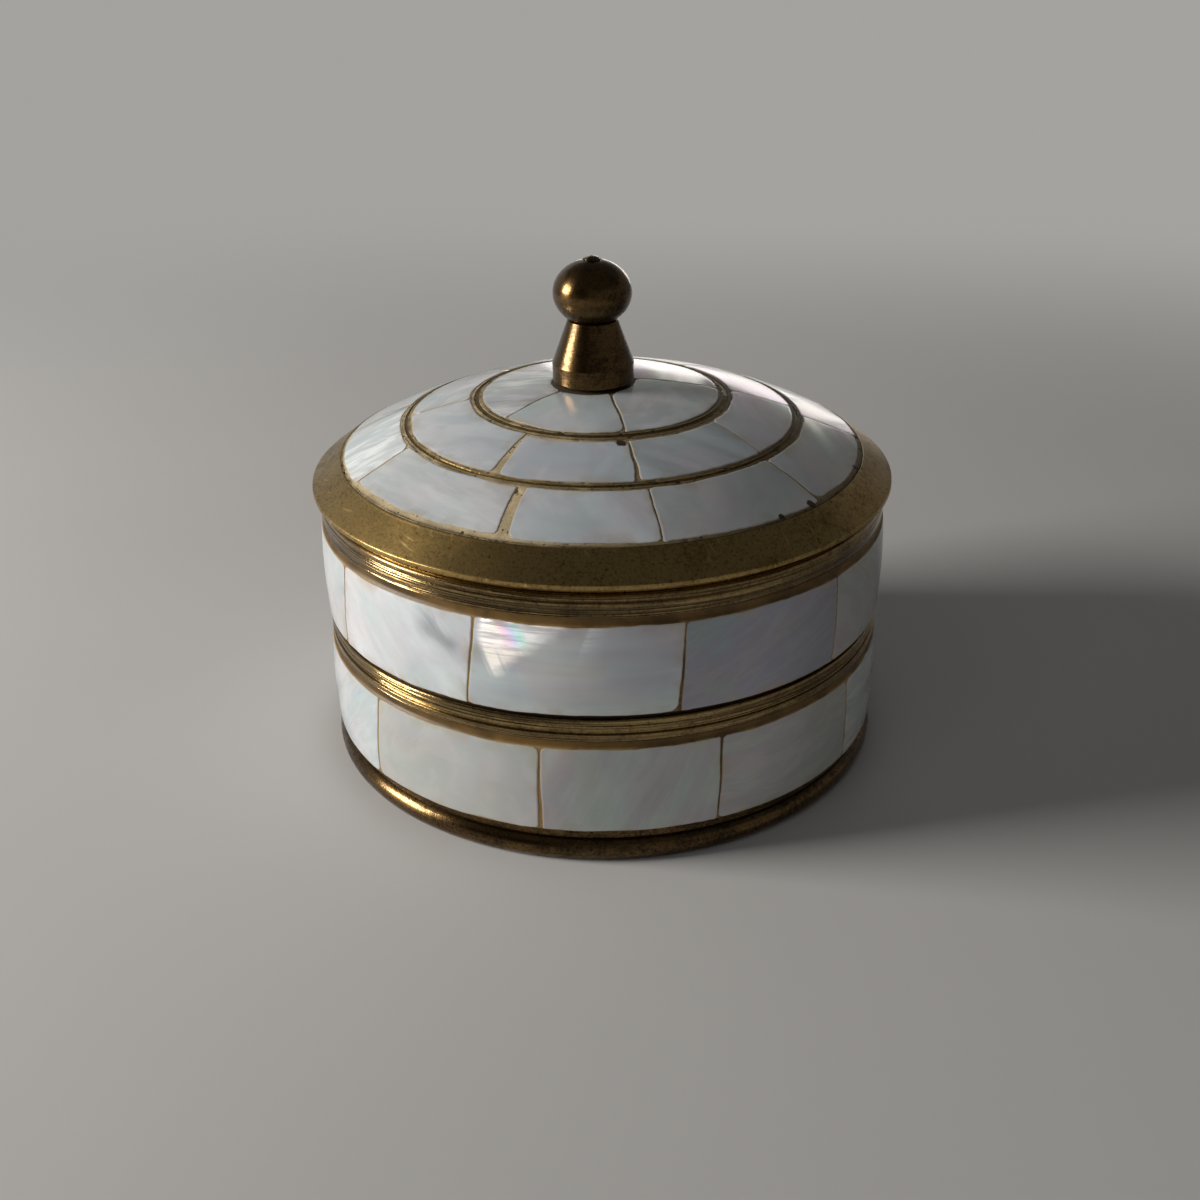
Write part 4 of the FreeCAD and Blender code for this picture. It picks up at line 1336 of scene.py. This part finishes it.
class PEARLBOX_OT_knob(PieceOperator, bpy.types.Operator):
    """Turn the knob's foot and ball and peen its rivet"""

    bl_idname = "pearlbox.knob"
    bl_label = "Knob"

    def execute(self, context):
        edge, _, faint = tool_sizes(context)
        foot = [
            (RIVET_RADIUS, PAD_TOP),
            (KNOB_SPIGOT, PAD_TOP),
            (KNOB_SPIGOT, KNOB_BASE_LOW),
            (KNOB_RADIUS, KNOB_BASE_LOW, edge * 2, faint),
            (KNOB_RADIUS, KNOB_SHOULDER, edge * 2, faint),
            (CONE_TOP, KNOB_HIGH.z, edge),
            (RIVET_RADIUS, KNOB_HIGH.z),
        ]
        piece = turned_piece("knob_cone", foot, "knob", axis=KNOB_AXIS, around=160, seed=41.0)
        fit(piece, "lid", "dark_brass", "knob_foot")
        seat = math.asin((BALL_LOW.z - BALL_CENTRE) / BALL_HALF_HEIGHT)
        crown = math.asin((BALL_HIGH.z - BALL_CENTRE) / BALL_HALF_HEIGHT)
        ball = [(RIVET_RADIUS, BALL_LOW.z)]
        for turn in spaced(seat, crown, 56):
            ball.append((BALL_RADIUS * math.cos(turn), BALL_CENTRE + BALL_HALF_HEIGHT * math.sin(turn)))
        ball.append((RIVET_RADIUS, BALL_HIGH.z))
        piece = turned_piece("knob_ball_turned", ball, "knob", axis=KNOB_AXIS, around=160, seed=42.0)
        fit(piece, "lid", "dark_brass", "knob_ball")
        rivet = [
            (0.0, RIVET_LOW.z),
            rough_corner(TAIL_RADIUS * 0.55, RIVET_LOW.z + 0.12),
            (TAIL_RADIUS, WASHER_LOW.z, edge),
            (RIVET_RADIUS, WASHER_LOW.z),
            (RIVET_RADIUS, BALL_HIGH.z),
            rough_corner(NUB_RADIUS, BALL_HIGH.z, edge),
            rough_corner(NUB_RADIUS * 0.8, RIVET_HIGH.z - 0.18, NUB_ROUND),
            rough_corner(NUB_RADIUS * 0.35, RIVET_HIGH.z - 0.02, NUB_ROUND),
            (0.0, RIVET_HIGH.z),
        ]
        piece = turned_piece(
            "knob_rivet_peened", rivet, "knob", closed=False, axis=KNOB_AXIS, around=72, seed=43.0,
            warp=0.3 * MM, warp_size=1.1 * MM)
        fit(piece, "lid", "dark_brass", "knob_rivet")
        return {"FINISHED"}


# Stage, in metres and degrees

CAMERA_PLACE = (0.0, -0.190787, 0.112398)
CAMERA_YAW = -0.1417
CAMERA_PITCH = 26.2845
CAMERA_ROLL = -0.6973
CAMERA_LENS = 43.5
FLOOR_FLAT = 0.75
FLOOR_BEND = 0.35
WALL_TOP = 0.7
FLOOR_AROUND = 96


def camera_matrix():
    """The camera's place and aim, from its yaw, pitch and roll."""
    yaw = math.radians(CAMERA_YAW)
    pitch = math.radians(CAMERA_PITCH)
    roll = math.radians(CAMERA_ROLL)
    ahead = Vector((math.sin(yaw) * math.cos(pitch), math.cos(yaw) * math.cos(pitch), -math.sin(pitch)))
    level = ahead.cross(Vector((0.0, 0.0, 1.0))).normalized()
    upright = level.cross(ahead)
    right = level * math.cos(roll) + upright * math.sin(roll)
    up = upright * math.cos(roll) - level * math.sin(roll)
    turn = Matrix((right, up, -ahead)).transposed()
    return Matrix.Translation(CAMERA_PLACE) @ turn.to_4x4()


def floor_mesh():
    """A round floor that bends up into a wall."""
    sweep = []
    for turn in spaced(0.0, math.pi / 2, 16)[1:]:
        sweep.append((FLOOR_FLAT + FLOOR_BEND * math.sin(turn), FLOOR_BEND * (1.0 - math.cos(turn))))
    sweep.append((FLOOR_FLAT + FLOOR_BEND, WALL_TOP))
    points = [(0.0, 0.0, 0.0)]
    for radius, height in sweep:
        for turn in spaced(0.0, math.tau, FLOOR_AROUND)[:-1]:
            points.append((radius * math.sin(turn), radius * math.cos(turn), height))
    faces = []
    for ring in range(len(sweep)):
        for step in range(FLOOR_AROUND):
            outer = 1 + ring * FLOOR_AROUND + step
            following = 1 + ring * FLOOR_AROUND + (step + 1) % FLOOR_AROUND
            inner = (outer - FLOOR_AROUND, following - FLOOR_AROUND) if ring else (0,)
            faces.append((*inner, following, outer))
    mesh = bpy.data.meshes.new("floor")
    mesh.from_pydata(points, [], faces)
    mesh.shade_smooth()
    return mesh


def panel_light(name, place, aim, size, power, colour):
    """A soft panel that lights the object and isn't seen itself."""
    lamp = bpy.data.lights.new(name, "AREA")
    lamp.shape = "RECTANGLE"
    lamp.size, lamp.size_y = size
    lamp.energy = power
    lamp.color = colour
    light = bpy.data.objects.new(name, lamp)
    light.location = place
    light.rotation_euler = (Vector(aim) - Vector(place)).to_track_quat("-Z", "Y").to_euler()
    light.visible_camera = False
    bpy.context.scene.collection.objects.link(light)
    return light


class PEARLBOX_OT_stage(PieceOperator, bpy.types.Operator):
    """Set the floor, backdrop, lights and camera"""

    bl_idname = "pearlbox.stage"
    bl_label = "Stage"

    def execute(self, context):
        scene = context.scene
        scene.view_settings.view_transform = "Standard"
        floor = bpy.data.objects.new("floor", floor_mesh())
        floor.data.materials.append(floor_finish(scene.pearl_finish))
        scene.collection.objects.link(floor)

        aim = (0.0, 0.0, 0.03)
        panel_light("window", (-0.6, -0.05, 0.23), aim, (0.24, 0.26), 4.7, (1.0, 0.97, 0.925))
        front = panel_light("front_fill", (-0.3, -0.65, 0.65), aim, (0.8, 0.6), 0.5, (0.95, 0.97, 1.0))
        front.visible_glossy = False
        aim = (0.03, 0.0, 0.045)
        panel_light("back_glow", (0.08, 0.45, 0.06), aim, (0.24, 0.11), 0.19, (1.0, 0.95, 0.93))
        world = bpy.data.worlds.new("studio")
        world.use_nodes = True
        background = next(node for node in world.node_tree.nodes if node.type == "BACKGROUND")
        fill(world.node_tree, background, {"Color": (0.97, 0.98, 1.0, 1.0), "Strength": 0.065})
        scene.world = world

        lens = bpy.data.cameras.new("camera")
        lens.sensor_width = 36.0
        lens.lens = CAMERA_LENS
        lens.clip_start = 0.01
        camera = bpy.data.objects.new("camera", lens)
        camera.matrix_world = camera_matrix()
        scene.collection.objects.link(camera)
        scene.camera = camera
        return {"FINISHED"}


class PEARLBOX_PT_panel(bpy.types.Panel):
    """Lists the pieces and settings of the box"""

    bl_idname = "PEARLBOX_PT_panel"
    bl_label = "Pearl Box"
    bl_space_type = "VIEW_3D"
    bl_region_type = "UI"
    bl_category = "Pearl Box"

    def draw(self, context):
        for name, group in SETTINGS.items():
            box = self.layout.box()
            for field in group.__annotations__:
                box.prop(getattr(context.scene, name), field)
        for operator in OPERATORS:
            self.layout.operator(operator.bl_idname)


OPERATORS = (
    PEARLBOX_OT_cup, PEARLBOX_OT_bands, PEARLBOX_OT_lid, PEARLBOX_OT_dividers, PEARLBOX_OT_cement,
    PEARLBOX_OT_side_tiles, PEARLBOX_OT_lid_tiles, PEARLBOX_OT_knob, PEARLBOX_OT_stage,
)


CLASSES = (*SETTINGS.values(), *OPERATORS, PEARLBOX_PT_panel)


def register():
    for item in CLASSES:
        bpy.utils.register_class(item)
    for name, group in SETTINGS.items():
        setattr(bpy.types.Scene, name, PointerProperty(type=group))


def unregister():
    for name in SETTINGS:
        delattr(bpy.types.Scene, name)
    for item in reversed(CLASSES):
        bpy.utils.unregister_class(item)


def main():
    register()
    bpy.ops.pearlbox.cup()
    bpy.ops.pearlbox.bands()
    bpy.ops.pearlbox.lid()
    bpy.ops.pearlbox.dividers()
    bpy.ops.pearlbox.cement()
    bpy.ops.pearlbox.side_tiles()
    bpy.ops.pearlbox.lid_tiles()
    bpy.ops.pearlbox.knob()
    bpy.ops.pearlbox.stage()


if __name__ == "__main__":
    main()
